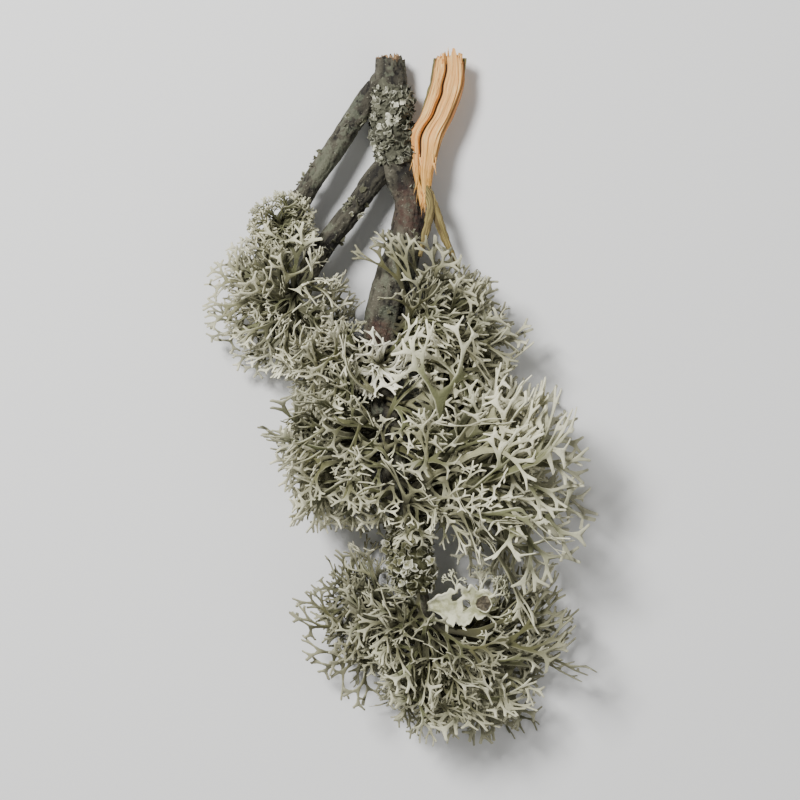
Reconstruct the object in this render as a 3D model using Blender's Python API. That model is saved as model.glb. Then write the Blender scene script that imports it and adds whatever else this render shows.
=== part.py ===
"""A broken, lichen-covered twig, lying on a surface.

A thick stem is torn off at its upper end, where orange wood shows, and thins out
towards its lower end. Two thinner stems fork off to the left. Forked, strap-like
lichen grows from the bark in tufts, and two crusts of small round lobes wrap the
main stem. +Y runs up the twig, +Z points away from the surface that it lies on.
"""
import math
import random

import bmesh
import bpy
import numpy as np
from mathutils import Vector
from mathutils.bvhtree import BVHTree

MM = 0.001
NAME = "lichen_twig"

# Where the middle of the twig's footprint lies in the coordinates of the lists below, in mm.
ORIGIN = (-5.94, -5.63, 0.56)

# Routes of the stems, in mm: x, y, height of the middle, radius.
MAIN_STEM = [
    (-8.8, 86.4, 5.2, 4.0), (-8.6, 78.0, 5.8, 4.3), (-8.6, 68.5, 6.3, 4.4),
    (-6.4, 57.0, 7.0, 4.6), (-3.6, 47.5, 7.9, 4.2), (-4.6, 37.0, 9.0, 4.8),
    (-7.4, 27.5, 10.0, 5.2), (-9.9, 18.7, 10.8, 5.0), (-11.2, 10.0, 11.6, 4.5),
    (-10.6, 0.0, 12.4, 4.0), (-9.4, -11.0, 13.0, 3.9), (-7.6, -24.8, 13.4, 3.6),
    (-4.4, -41.3, 13.4, 3.3), (-1.2, -60.5, 13.0, 2.9), (1.7, -75.9, 12.2, 2.3),
]
OUTER_STEM = [
    (-8.8, 84.0, 5.2, 2.9), (-14.0, 77.0, 6.0, 3.0), (-21.2, 66.0, 7.6, 2.9),
    (-27.4, 56.6, 8.8, 2.9), (-33.6, 47.3, 8.8, 2.8), (-41.0, 36.6, 6.4, 2.6),
    (-48.4, 23.1, 2.6, 2.2),
]
INNER_STEM = [
    (-7.0, 61.0, 6.8, 2.8), (-12.6, 54.2, 7.8, 3.0), (-19.3, 45.1, 9.0, 2.9),
    (-27.0, 34.7, 9.8, 2.9), (-33.6, 24.2, 9.2, 2.7), (-39.0, 13.6, 7.0, 2.2),
]
STEM_SIDES = 10
GAP = 0.3                   # left between pieces that touch
TORN_END = 1.8              # how far the points of a torn stem end are moved along the stem
BROKEN_END = 0.9            # the same for a side stem's end

# The strip of torn wood, in mm: x, y, height of the middle, width, thickness.
TORN_STRIP = [
    (7.4, 86.8, 7.6, 7.6, 3.4), (6.8, 79.2, 7.8, 8.4, 4.2), (4.1, 71.5, 8.0, 8.4, 4.6),
    (1.2, 66.0, 8.4, 9.1, 4.8), (0.7, 60.5, 9.2, 7.2, 4.4), (0.3, 55.0, 10.2, 5.0, 3.6),
    (0.6, 49.0, 11.2, 2.6, 2.2),
]
SPLINTERS = [
    [(0.8, 52.0, 11.2, 1.3), (2.4, 47.0, 12.0, 1.1), (1.1, 40.0, 12.9, 1.0), (-0.6, 32.8, 13.6, 0.6)],
    [(0.8, 52.0, 11.0, 1.2), (3.0, 46.8, 11.6, 1.2), (6.2, 38.0, 10.6, 1.0), (9.9, 29.4, 8.8, 0.5)],
]

# The strip's section, from the lower left round to the left: shares of half its width and
# thickness. The notch in its upper side is the groove.
STRIP_OUTLINE = [
    (-0.5, -0.9), (0.3, -1.0), (0.9, -0.6), (1.0, 0.3), (0.6, 0.85), (0.16, 1.0),
    (0.02, 0.35), (-0.14, 1.0), (-0.75, 0.8), (-1.0, 0.1),
]

STRIP_RAGGED = 2.2          # how far the points of its two ends are moved along it
SPLINTER_SIDES = 6

# Crusts on the main stem: name, first and last y, angles around the stem, plates, their size.
CRUSTS = [
    ("upper_crust", 79.0, 58.0, (-15, 200), 13, 2.7),
    ("lower_crust", -38.0, -56.5, (-60, 240), 12, 2.5),
]
CRUST_SKIN = 0.6
CRUST_SIDES = 8
CRUST_CLEARANCE = 4.0
PLATE_SIDES = 6
GOLDEN_SHARE = 0.618        # of the angles from one plate to the next, so that they spread evenly

# The lobe with the cup: y and angle of its foot, heading, reach, and its sections: share of
# the reach, width, height over the foot.
CUP_PLACE = (-61.5, 15)
CUP_HEADING = 4.0
CUP_REACH = 17.0
CUP_LOBE = [(0.0, 3.0, 0.3), (0.3, 5.5, 1.2), (0.6, 8.5, 1.2), (0.85, 8.0, 0.4), (1.05, 4.5, -0.6)]
CUP_LOBE_THICKNESS = 1.0
CUP_SHARE = 0.86            # how far out the cup stands
CUP_RADIUS = 2.5
CUP_DEPTH = 2.4
CUP_RIM = 0.5
CUP_HOLLOW = 0.7
CUP_KNOB = 2.2

# A strap lobe of lichen: each share of its length ends in a fork, the last one in tips.
LOBE_SHARES = (0.30, 0.26, 0.44)
LOBE_START = 0.07           # share of the length that is sunk in the knob
LOBE_FOOT_WIDTH = 1.6
LOBE_WIDTHS = (2.5, 1.9, 0.9)
LOBE_FORKS = (27.0, 25.0)
LOBE_THICKNESS = 0.8
LOBE_REFERENCE = 30.0       # length at which a lobe has the widths above
WANDER = 6                  # how far a strap turns off its heading, in degrees
SLOPE = 13                  # how steeply it rises or falls, in degrees
FAN_KINDS = 6
TRIES = 60                  # places that are tried for a lobe before it is left out
LOOSE_TRIES = 18            # the last of them, in which its forks may cross its neighbours'
LOBE_CLEARANCE = 0.7        # how much wider and thicker a lobe is while its place is tried
FLOOR = 0.45                # lowest middle line of a lobe that is pressed on the surface
CEILING = 31.0
KNOB_HEIGHT = 0.6           # of a tuft's middle over the bark

# Tufts: name, stem, y of the foot in mm, place around the stem (0 right, 90 on top),
# first and last heading, lowest and highest rise, length in mm, number of lobes.
TUFTS = [
    ("outer_tuft", "outer_stem", 41.0, 90, (-10, 330), (20, 60), 11.0, 8),
    ("white_tuft", "main_stem", 3.6, 95, (-20, 320), (25, 55), 10.5, 7),
    ("right_fan", "main_stem", -32.5, 25, (-12, 52), (-5, 38), 49.0, 9),
    ("upper_right_tuft", "main_stem", 10.5, 20, (-20, 66), (-15, 42), 33.0, 8),
    ("inner_tuft", "inner_stem", 22.0, 100, (95, 335), (5, 45), 23.0, 8),
    ("left_tuft", "main_stem", 7.0, 165, (150, 250), (-20, 42), 25.0, 8),
    ("lower_left_tuft", "main_stem", -15.5, 160, (158, 255), (-25, 40), 31.0, 9),
    ("middle_right_tuft", "main_stem", -10.0, 0, (-68, 12), (-25, 40), 33.0, 7),
    ("lower_right_tuft", "main_stem", -67.5, -10, (-70, 0), (-25, 35), 40.0, 8),
    ("bottom_left_tuft", "main_stem", -61.5, 170, (172, 252), (-25, 40), 28.0, 8),
    ("end_tuft", "main_stem", -74.5, 60, (-130, -35), (-25, 40), 21.0, 6),
]


def material(name, colour, roughness):
    """A plain surface colour."""
    made = bpy.data.materials.new(name)
    made.use_nodes = True
    shader = made.node_tree.nodes["Principled BSDF"]
    shader.inputs["Base Color"].default_value = (*colour, 1.0)
    shader.inputs["Roughness"].default_value = roughness
    shader.inputs["Metallic"].default_value = 0.0
    return made


def metres(point):
    """A point of the lists above, in metres from the twig's origin."""
    return Vector([(value - shift) * MM for value, shift in zip(point, ORIGIN)])


def add_object(name, mesh, group):
    """A new object that shows the mesh."""
    thing = bpy.data.objects.new(name, mesh)
    group.objects.link(thing)
    return thing


def evaluated(thing):
    """The object's mesh with its modifiers or its curve's bevel taken up."""
    graph = bpy.context.evaluated_depsgraph_get()
    return bpy.data.meshes.new_from_object(thing.evaluated_get(graph), depsgraph=graph)


def tube_mesh(route, extra=0.0, sides=STEM_SIDES):
    """A closed round tube along a route, fatter than the route says by extra."""
    curve = bpy.data.curves.new("tube", "CURVE")
    curve.dimensions = "3D"
    curve.bevel_depth = MM
    curve.bevel_resolution = sides // 2 - 2
    curve.use_fill_caps = True
    spline = curve.splines.new("POLY")
    spline.points.add(len(route) - 1)
    for point, (x, y, z, radius) in zip(spline.points, route):
        point.co = (*metres((x, y, z)), 1.0)
        point.radius = radius + extra
    thing = bpy.data.objects.new("tube", curve)
    bpy.context.scene.collection.objects.link(thing)
    mesh = evaluated(thing)
    bpy.data.objects.remove(thing)
    bm = bmesh.new()
    bm.from_mesh(mesh)
    bmesh.ops.remove_doubles(bm, verts=bm.verts, dist=1e-6)
    bmesh.ops.recalc_face_normals(bm, faces=bm.faces)
    return finished(bm)


def finished(bm):
    """The shape as a mesh."""
    mesh = bpy.data.meshes.new("shape")
    bm.to_mesh(mesh)
    bm.free()
    return mesh


def largest_body(mesh):
    """The largest body of a mesh, without the crumbs that a cut leaves."""
    bm = bmesh.new()
    bm.from_mesh(mesh)
    left = set(bm.verts)
    bodies = []
    while left:
        body = set()
        front = [left.pop()]
        while front:
            vert = front.pop()
            body.add(vert)
            near = [edge.other_vert(vert) for edge in vert.link_edges]
            front.extend(other for other in near if other in left)
            left.difference_update(near)
        bodies.append(body)
    bodies.sort(key=len)
    for body in bodies[:-1]:
        bmesh.ops.delete(bm, geom=list(body), context="VERTS")
    return finished(bm)


def combine(base, others, operation, solver="EXACT"):
    """The base mesh united with the others, or with the others cut out of it."""
    group = bpy.data.collections.new("operands")
    bpy.context.scene.collection.children.link(group)
    for mesh in others:
        add_object("operand", mesh, group)
    thing = add_object("base", base, bpy.context.scene.collection)
    change = thing.modifiers.new("Boolean", "BOOLEAN")
    change.operation = operation
    change.operand_type = "COLLECTION"
    change.collection = group
    change.solver = solver
    mesh = evaluated(thing)
    for operand in list(group.objects):
        bpy.data.objects.remove(operand)
    bpy.data.collections.remove(group)
    bpy.data.objects.remove(thing)
    return mesh


def place_section(face, lift, middle, forward, side, width, thickness):
    """Moves a strap's end face to a new middle, squared up to its new heading."""
    old = face.calc_center_median()
    up = forward.cross(side)
    for vert in face.verts:
        offset = vert.co - old
        across = math.copysign(width / 2, offset.dot(side))
        over = math.copysign(thickness / 2, offset.z)
        vert.co = middle + side * across + up * over
        vert[lift] = middle.z


def split_face(bm, face):
    """Parts an end face into its left and right halves."""
    middle = face.calc_center_median()
    level = [edge for edge in face.edges
             if (edge.verts[0].co.z > middle.z) == (edge.verts[1].co.z > middle.z)]
    cut = bmesh.ops.subdivide_edges(bm, edges=level, cuts=1)
    mids = [item for item in cut["geom_inner"] if isinstance(item, bmesh.types.BMVert)]
    return [half for half in mids[0].link_faces if mids[1] in half.verts]


def grow(bm, face, heading, level, path, length, girth, extra):
    """Extrudes one strap from an end face, and forks it until the last level."""
    rng = random.Random(path)
    lift = bm.verts.layers.float["lift"]
    heading += math.radians(rng.uniform(-WANDER, WANDER))
    slope = math.radians(rng.uniform(-SLOPE, SLOPE))
    side = Vector((-math.sin(heading), math.cos(heading), 0.0))
    forward = Vector((side.y * math.cos(slope), -side.x * math.cos(slope), math.sin(slope)))
    reach = LOBE_SHARES[level] * length * rng.uniform(0.85, 1.15)
    start = face.calc_center_median()
    end = bmesh.ops.extrude_discrete_faces(bm, faces=[face])["faces"][0]
    last = level == len(LOBE_SHARES) - 1
    width = LOBE_WIDTHS[level] * girth + extra
    thickness = extra if last else LOBE_THICKNESS * girth + extra
    place_section(end, lift, start + forward * reach, forward, side, width, thickness)
    if last:
        return
    halves = split_face(bm, end)
    halves.sort(key=lambda half: half.calc_center_median().dot(side))
    for half, sign, mark in zip(halves, (-1, 1), "rl"):
        turn = math.radians(LOBE_FORKS[level]) * rng.uniform(0.75, 1.25)
        grow(bm, half, heading + sign * turn, level + 1, path + mark, length, girth, extra)


def fan_mesh(kind, length, extra=0.0):
    """A forked lobe that lies nearly flat along +X, its lengths and widths in metres."""
    girth = (length / LOBE_REFERENCE) ** 0.5 * MM
    bm = bmesh.new()
    bm.verts.layers.float.new("lift")
    bmesh.ops.create_cube(bm, size=1.0)
    for vert in bm.verts:
        vert.co.x = 0.0 if vert.co.x < 0 else LOBE_START * length * MM
        vert.co.y *= LOBE_FOOT_WIDTH * girth + extra
        vert.co.z *= LOBE_THICKNESS * girth + extra
    end = max(bm.faces, key=lambda face: face.calc_center_median().x)
    grow(bm, end, 0.0, 0, "fan %d " % kind, length * MM, girth, extra)
    bmesh.ops.remove_doubles(bm, verts=bm.verts, dist=1e-6)
    return finished(bm)


def along_route(route, height):
    """The point and radius of a route at a given y, in mm, and the way that the route runs."""
    for above, below in zip(route, route[1:]):
        if below[1] <= height <= above[1]:
            share = (above[1] - height) / (above[1] - below[1])
            point = tuple(a + (b - a) * share for a, b in zip(above, below))
            return point, Vector((below[0] - above[0], below[1] - above[1], 0.0)).normalized()


def route_between(route, start, end):
    """The stretch of a route between two values of y."""
    inner = [point for point in route if end < point[1] < start]
    return [along_route(route, start)[0], *inner, along_route(route, end)[0]]


def on_bark(route, height, around):
    """The point on a stem's bark, in mm, at a given y and angle around it, and the way out."""
    (x, y, z, radius), along = along_route(route, height)
    side = Vector((-along.y, along.x, 0.0))
    turn = math.radians(around)
    out = side * math.cos(turn) + Vector((0.0, 0.0, 1.0)) * math.sin(turn)
    return Vector((x, y, z)) + out * radius, out


def kept_clear():
    """Fat tubes around the stems, the crusts, the torn wood and the cup: no tuft grows there."""
    tubes = [tube_mesh(route, GAP) for route in (MAIN_STEM, OUTER_STEM, INNER_STEM)]
    for name, start, end, *rest in CRUSTS:
        tubes.append(tube_mesh(route_between(MAIN_STEM, start, end), CRUST_CLEARANCE))
    strip = [(x, y, z, width / 2) for x, y, z, width, thickness in TORN_STRIP]
    tubes.extend(tube_mesh(route, 2 * GAP) for route in (strip, *SPLINTERS))
    foot, out = on_bark(MAIN_STEM, *CUP_PLACE)
    away = Vector((math.cos(math.radians(CUP_HEADING)), math.sin(math.radians(CUP_HEADING)), 0.0))
    cup = [(*(foot + away * share * CUP_REACH), width / 2) for share, width, height in CUP_LOBE]
    tubes.append(tube_mesh(cup, 3 * GAP))
    return tubes


def foot_radius(length):
    """How big the knob is that lobes of a length grow from."""
    return (1.2 + 0.05 * length) * MM


def soft_limit(value, limit, reach, sign):
    """Eases heights towards a limit that they never pass."""
    spare = (value - limit) * sign
    eased = limit + sign * reach * np.exp(np.minimum(spare / reach - 1.0, 0.0))
    return np.where(spare > reach, value, eased)


def middle_surface(x, y, lift, lobe):
    """Where points of a flat fan lie once it is bent, twisted and set in the lobe's place."""
    foot, heading, curl, rise, droop, twist, scale, length, floor = lobe
    bend = (droop - rise) / length
    angle = rise + bend * x
    turn = twist * x / length
    across = np.cos(turn) * y - np.sin(turn) * lift
    over = np.sin(turn) * y + np.cos(turn) * lift
    out = (np.sin(angle) - math.sin(rise)) / bend - np.sin(angle) * over
    up = (math.cos(rise) - np.cos(angle)) / bend + np.cos(angle) * over + foot.z
    up = soft_limit(up, floor, 2.0 * MM, 1.0)
    up = soft_limit(up, CEILING * MM, 3.0 * MM, -1.0)
    cos, sin = np.cos(heading + curl * x / length), np.sin(heading + curl * x / length)
    return np.stack([foot.x + out * cos - across * sin, foot.y + out * sin + across * cos, up], 1)


def lobe_points(mesh, lobe):
    """Where a fan's points lie in the lobe's place, its thickness kept along the way."""
    scale = lobe[6]
    x, y, z = read_points(mesh, "position", 3).T * scale
    lift = read_points(mesh, "lift", 1)[:, 0] * scale
    step = 0.01 * MM
    middle = middle_surface(x, y, lift, lobe)
    normal = np.cross(middle_surface(x + step, y, lift, lobe) - middle,
                      middle_surface(x, y + step, lift, lobe) - middle)
    normal /= np.linalg.norm(normal, axis=1)[:, None]
    return middle + normal * (z - lift)[:, None]


def lobe_choice(rng, tuft, foot, index):
    """One lobe's foot, heading, curl, rise, droop, twist, scale, length and lowest height."""
    headings, rises, length, count = tuft[4:]
    share = (index + rng.uniform(0.1, 0.9)) / count
    heading = math.radians(headings[0] + (headings[1] - headings[0]) * share)
    curl = math.radians(rng.uniform(-32, 32))
    rise = math.radians(rng.uniform(*rises))
    droop = rise - math.radians(rng.uniform(15, 70))
    twist = math.radians(rng.uniform(-70, 70))
    scale = rng.uniform(0.8, 1.05)
    floor = (FLOOR + rng.uniform(0.0, 2.0)) * MM
    return foot, heading, curl, rise, droop, twist, scale, length * MM * scale, floor


def read_points(mesh, name, size):
    """A value that the mesh holds for each point, as rows of an array."""
    data = mesh.attributes[name].data
    flat = np.empty(len(data) * size)
    data.foreach_get("vector" if size == 3 else "value", flat)
    return flat.reshape(-1, size)


def bent(mesh, lobe):
    """A copy of a flat fan, bent into the lobe's place."""
    copy = mesh.copy()
    copy.vertices.foreach_set("co", lobe_points(mesh, lobe).ravel())
    copy.update()
    return copy


def tree_of(mesh, flat=None, past=0.0):
    """The mesh's faces, for finding what crosses them: those past a place along the flat fan."""
    faces = [tuple(face.vertices) for face in mesh.polygons]
    if flat:
        along = read_points(flat, "position", 3)[:, 0] > past - 1e-6
        faces = [face for face in faces if all(along[index] for index in face)]
    return BVHTree.FromPolygons([vert.co for vert in mesh.vertices], faces)


def build_tuft(tuft, foot, taken):
    """The lobes of one tuft, each at a place where it stays clear of all that is there."""
    rng = random.Random(tuft[0])
    length, count = tuft[-2:]
    fans = [fan_mesh(kind, length) for kind in range(FAN_KINDS)]
    wide_fans = [fan_mesh(kind, length, LOBE_CLEARANCE * MM) for kind in range(FAN_KINDS)]
    lobes = []
    whole = []
    forks = []
    for index in range(count):
        for attempt in range(TRIES):
            lobe = lobe_choice(rng, tuft, foot, index)
            kind = rng.randrange(FAN_KINDS)
            wide = bent(wide_fans[kind], lobe)
            outer = tree_of(wide, wide_fans[kind], LOBE_START * length * MM)
            if any(outer.overlap(other) for other in taken):
                continue
            forked = tree_of(wide, wide_fans[kind], LOBE_SHARES[0] * length * MM)
            strict = attempt < TRIES - LOOSE_TRIES
            if strict and any(forked.overlap(other) for other in forks):
                continue
            lobes.append(bent(fans[kind], lobe))
            whole.append(outer)
            forks.append(forked)
            break
    taken.extend(whole)
    return lobes


def knob_mesh(foot, radius):
    """The knob that a tuft's lobes grow from, half sunk in the bark."""
    bm = bmesh.new()
    bmesh.ops.create_icosphere(bm, subdivisions=1, radius=radius)
    bmesh.ops.translate(bm, verts=bm.verts, vec=foot)
    return finished(bm)


def plate_mesh(rng, foot, out, size):
    """One small crust lobe: a frilled dish that stands off the bark."""
    bm = bmesh.new()
    bmesh.ops.create_cone(bm, cap_ends=True, segments=PLATE_SIDES, radius1=0.45 * size,
                          radius2=size, depth=0.9 * size)
    for vert in bm.verts:
        if vert.co.z > 0:
            vert.co *= rng.uniform(0.75, 1.2)
    lean = Vector([rng.uniform(-0.5, 0.5) for axis in range(3)])
    turn = Vector((0.0, 0.0, 1.0)).rotation_difference((out + lean).normalized())
    for vert in bm.verts:
        vert.co = turn @ vert.co + foot
    return finished(bm)


def crust_mesh(seed, route, start, end, arounds, count, size, obstacles):
    """A crust around a stem: a thin skin with plates standing all over it."""
    rng = random.Random(seed)
    skin = tube_mesh(route_between(route, start, end), GAP + CRUST_SKIN, CRUST_SIDES)
    plates = []
    for index in range(count):
        height = start + (end - start) * (index + 0.5) / count
        around = arounds[0] + (arounds[1] - arounds[0]) * (index * GOLDEN_SHARE % 1.0)
        foot, out = on_bark(route, height, around)
        middle = metres(foot + out * 0.35 * size)
        plate = plate_mesh(rng, middle, out, size * rng.uniform(0.8, 1.2) * MM)
        if not any(tree_of(plate).overlap(other) for other in obstacles):
            plates.append(plate)
    return largest_body(combine(skin, plates, "UNION"))


def sweep_mesh(sections):
    """A closed body through sections of equal numbers of points."""
    bm = bmesh.new()
    sides = len(sections[0])
    bmesh.ops.create_cone(bm, cap_ends=True, segments=sides, radius1=1.0, radius2=1.0, depth=2.0)
    end = max(bm.faces, key=lambda face: face.calc_center_median().z)
    ring = list(end.verts)
    feet = [edge.other_vert(vert) for vert in ring for edge in vert.link_edges
            if edge not in end.edges[:]]
    for vert, foot, first, second in zip(ring, feet, *sections[:2]):
        foot.co = first
        vert.co = second
    for section in sections[2:]:
        end = bmesh.ops.extrude_discrete_faces(bm, faces=[end])["faces"][0]
        new_verts = set(end.verts)
        ring = [edge.other_vert(vert) for vert in ring for edge in vert.link_edges
                if edge.other_vert(vert) in new_verts]
        for vert, place in zip(ring, section):
            vert.co = place
    return finished(bm)


def torn_wood_mesh():
    """The strip of torn wood with its groove, and the two splinters at its lower end."""
    rng = random.Random("torn wood")
    sections = []
    for index, (x, y, z, width, thickness) in enumerate(TORN_STRIP):
        ends = index in (0, len(TORN_STRIP) - 1)
        section = []
        for across, over in STRIP_OUTLINE:
            ragged = rng.uniform(-STRIP_RAGGED, STRIP_RAGGED) if ends else 0.0
            section.append(metres((x + across * width / 2, y + ragged, z + over * thickness / 2)))
        sections.append(section)
    splinters = [tube_mesh(route, 0.0, SPLINTER_SIDES) for route in SPLINTERS]
    return combine(sweep_mesh(sections), splinters, "UNION")


def cup_lobe_mesh():
    """A broad lobe that runs out to a small cup."""
    foot = metres(on_bark(MAIN_STEM, *CUP_PLACE)[0])
    heading = math.radians(CUP_HEADING)
    away = Vector((math.cos(heading), math.sin(heading), 0.0))
    side = Vector((-away.y, away.x, 0.0))
    sections = []
    for share, width, height in CUP_LOBE:
        middle = foot + away * CUP_REACH * share * MM + Vector((0.0, 0.0, height * MM))
        half = side * width / 2 * MM
        up = Vector((0.0, 0.0, CUP_LOBE_THICKNESS / 2 * MM))
        sections.append([middle - half, middle - half * 0.5 - up, middle + half * 0.5 - up,
                         middle + half, middle + half * 0.5 + up, middle - half * 0.5 + up])
    bm = bmesh.new()
    bmesh.ops.create_cone(bm, cap_ends=True, segments=12, radius1=CUP_RADIUS / 2 * MM,
                          radius2=CUP_RADIUS * MM, depth=CUP_DEPTH * MM)
    rim = max(bm.faces, key=lambda face: face.calc_center_median().z)
    bmesh.ops.inset_individual(bm, faces=[rim], thickness=CUP_RIM * MM, depth=-CUP_HOLLOW * MM)
    up = Vector((0.0, 0.0, (CUP_LOBE[-2][2] + CUP_DEPTH / 2 + 0.1) * MM))
    bmesh.ops.translate(bm, verts=bm.verts, vec=foot + away * CUP_REACH * CUP_SHARE * MM + up)
    return combine(sweep_mesh(sections), [finished(bm), knob_mesh(foot, CUP_KNOB * MM)], "UNION")


def roughen_end(mesh, end, spread):
    """Tears a stem's end: the points around it move along the stem by different amounts."""
    rng = random.Random("torn end")
    for vert in mesh.vertices:
        if (vert.co - metres(end[:3])).length < (end[3] + 0.5) * MM:
            vert.co.y += rng.uniform(-spread, spread) * MM


def main():
    for thing in list(bpy.data.objects):
        bpy.data.objects.remove(thing)
    parts = bpy.data.collections.new(NAME)
    bpy.context.scene.collection.children.link(parts)
    bark = material("bark", (0.14, 0.12, 0.10), 0.9)
    crust = material("crust", (0.30, 0.32, 0.26), 0.9)
    lichen = material("lichen", (0.45, 0.47, 0.34), 0.9)
    wood = material("torn_wood", (0.62, 0.36, 0.18), 0.7)

    def add_part(name, mesh, surface):
        mesh.materials.clear()
        mesh.materials.append(surface)
        add_object(name, mesh, parts)
        print(name, len(mesh.polygons))

    routes = {"main_stem": MAIN_STEM, "outer_stem": OUTER_STEM, "inner_stem": INNER_STEM}
    for name, route in routes.items():
        mesh = tube_mesh(route)
        if name == "main_stem":
            roughen_end(mesh, route[0], TORN_END)
        else:
            roughen_end(mesh, route[-1], BROKEN_END)
            mesh = combine(mesh, [tube_mesh(MAIN_STEM, GAP)], "DIFFERENCE")
        add_part(name, mesh, bark)
    cutters = [tube_mesh(route, GAP) for route in routes.values()]

    def cut_free(mesh, solver="EXACT"):
        stems = [cutter.copy() for cutter in cutters]
        return largest_body(combine(mesh, stems, "DIFFERENCE", solver))

    crust_reach = tube_mesh(route_between(MAIN_STEM, *CRUSTS[0][1:3]), 2 * GAP + CRUST_SKIN)
    strip = cut_free(combine(torn_wood_mesh(), [crust_reach], "DIFFERENCE"))
    add_part("torn_wood", strip, wood)
    for name, *values in CRUSTS:
        mesh = crust_mesh(name, MAIN_STEM, *values, [tree_of(strip)])
        add_part(name, cut_free(mesh), crust)
    add_part("cup_lobe", cut_free(cup_lobe_mesh()), crust)

    taken = [tree_of(mesh) for mesh in kept_clear()]
    for tuft in TUFTS:
        foot, out = on_bark(routes[tuft[1]], tuft[2], tuft[3])
        foot = metres(foot + out * KNOB_HEIGHT)
        knob = knob_mesh(foot, foot_radius(tuft[-2]))
        lobes = build_tuft(tuft, foot, taken)
        taken.append(tree_of(knob))
        # Lobes that nearly coincide leave edges that touch with the exact solver.
        mesh = cut_free(combine(knob, lobes, "UNION", "MANIFOLD"), "MANIFOLD")
        add_part(tuft[0], mesh, lichen)
        print(tuft[0], len(lobes), "lobes of", tuft[-1])


main()
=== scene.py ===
# %% [markdown]
# # A twig overgrown with lichen
#
# The real thing is a broken branch, about as long as a hand. Its thick stem is torn off at the
# upper end, where orange wood shows. Two side stems fork off to the left. Lichen grows from the
# bark in tufts of flat straps that fork again and again, and two crusts of small leafy lobes
# wrap the main stem.
#
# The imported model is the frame: it says where each stem and tuft sits. This script replaces its
# plain solids with finely modelled pieces in the same places. The origin lies under the middle
# of the twig, +Y runs up the twig, and +Z points away from the surface that it lies on.

# %% Load the frame
import math
import random

import bmesh
import bpy
import numpy as np
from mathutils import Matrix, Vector, noise
from mathutils.bvhtree import BVHTree


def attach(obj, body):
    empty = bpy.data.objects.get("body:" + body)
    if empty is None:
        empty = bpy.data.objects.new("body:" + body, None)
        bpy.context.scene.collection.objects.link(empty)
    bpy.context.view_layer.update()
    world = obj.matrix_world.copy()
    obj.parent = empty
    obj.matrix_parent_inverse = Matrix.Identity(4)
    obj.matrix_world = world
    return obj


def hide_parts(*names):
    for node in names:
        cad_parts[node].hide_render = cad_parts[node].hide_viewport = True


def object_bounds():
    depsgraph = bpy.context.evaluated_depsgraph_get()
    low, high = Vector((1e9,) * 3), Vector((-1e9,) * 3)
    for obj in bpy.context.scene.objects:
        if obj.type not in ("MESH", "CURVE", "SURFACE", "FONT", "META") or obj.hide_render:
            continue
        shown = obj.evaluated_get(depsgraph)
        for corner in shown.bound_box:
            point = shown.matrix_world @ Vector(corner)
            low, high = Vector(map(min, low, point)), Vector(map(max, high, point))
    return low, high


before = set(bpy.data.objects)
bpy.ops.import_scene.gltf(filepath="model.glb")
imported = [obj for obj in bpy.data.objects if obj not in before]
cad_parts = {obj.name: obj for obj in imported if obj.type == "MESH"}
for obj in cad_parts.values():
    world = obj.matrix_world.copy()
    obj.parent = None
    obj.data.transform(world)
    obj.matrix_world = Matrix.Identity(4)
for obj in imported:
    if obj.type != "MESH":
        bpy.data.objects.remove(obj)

MM = 0.001
UP = Vector((0.0, 0.0, 1.0))
cad_low, cad_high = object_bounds()
print("frame", [round((high - low) / MM, 1) for low, high in zip(cad_low, cad_high)], "mm")

# %% [markdown]
# ## Camera, floor and light
#
# The photograph looks straight down on the twig, so the camera hangs over it and looks down,
# with the torn end of the stem at the top of the picture. A long lens from a good distance
# keeps the tufts that stand up from leaning outwards. The floor is one large pale sheet. One
# soft light from the upper left models the lobes, and a wider, weaker one from the lower right
# keeps the gaps between them readable.

# %% Camera, floor and lights
CAMERA_HEIGHT = 0.80
CAMERA_LENS = 132.0
SKY_STRENGTH = 0.30
middle = [(low + high) / 2 for low, high in zip(cad_low, cad_high)]

bpy.ops.object.camera_add(location=(*middle[:2], CAMERA_HEIGHT), rotation=(0.0, 0.0, 0.0))
camera = bpy.context.object
camera.name = "camera"
camera.data.lens = CAMERA_LENS
camera.data.clip_start = 0.01
bpy.context.scene.camera = camera

bpy.ops.mesh.primitive_plane_add(size=12.0, location=(*middle[:2], 0.0))
floor = bpy.context.object
floor.name = "floor"
paper = bpy.data.materials.new("pale_floor")
paper.use_nodes = True
sockets = paper.node_tree.nodes["Principled BSDF"].inputs
sockets["Base Color"].default_value = (0.80, 0.80, 0.79, 1.0)
sockets["Roughness"].default_value = 0.9
floor.data.materials.append(paper)

for name, place, size, power in [("key_light", (-0.42, 0.42, 0.75), 0.24, 15.5),
                                 ("fill_light", (0.6, -0.5, 0.5), 0.8, 2.0)]:
    bpy.ops.object.light_add(type="AREA")
    light = bpy.context.object
    light.name = name
    light.data.size = size
    light.data.energy = power
    light.location = place
    away = Vector(place) - Vector(middle)
    light.rotation_euler = away.to_track_quat("Z", "Y").to_euler()

world = bpy.data.worlds.new("studio")
bpy.context.scene.world = world
world.use_nodes = True
sockets = world.node_tree.nodes["Background"].inputs
sockets["Color"].default_value = (1.0, 1.0, 1.0, 1.0)
sockets["Strength"].default_value = SKY_STRENGTH

# %% [markdown]
# ## Writing shader maths as expressions
#
# Every finish here mixes a few colours by masks that are sums and products of noises and of
# values stored on the mesh. Drawn as nodes that is a large web. Written as Python it is a line
# such as `patch * 0.5 + dust`, so one small class wraps a node's output socket and turns each
# operator into a Math node. A second class holds one material and makes all its other nodes.


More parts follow.
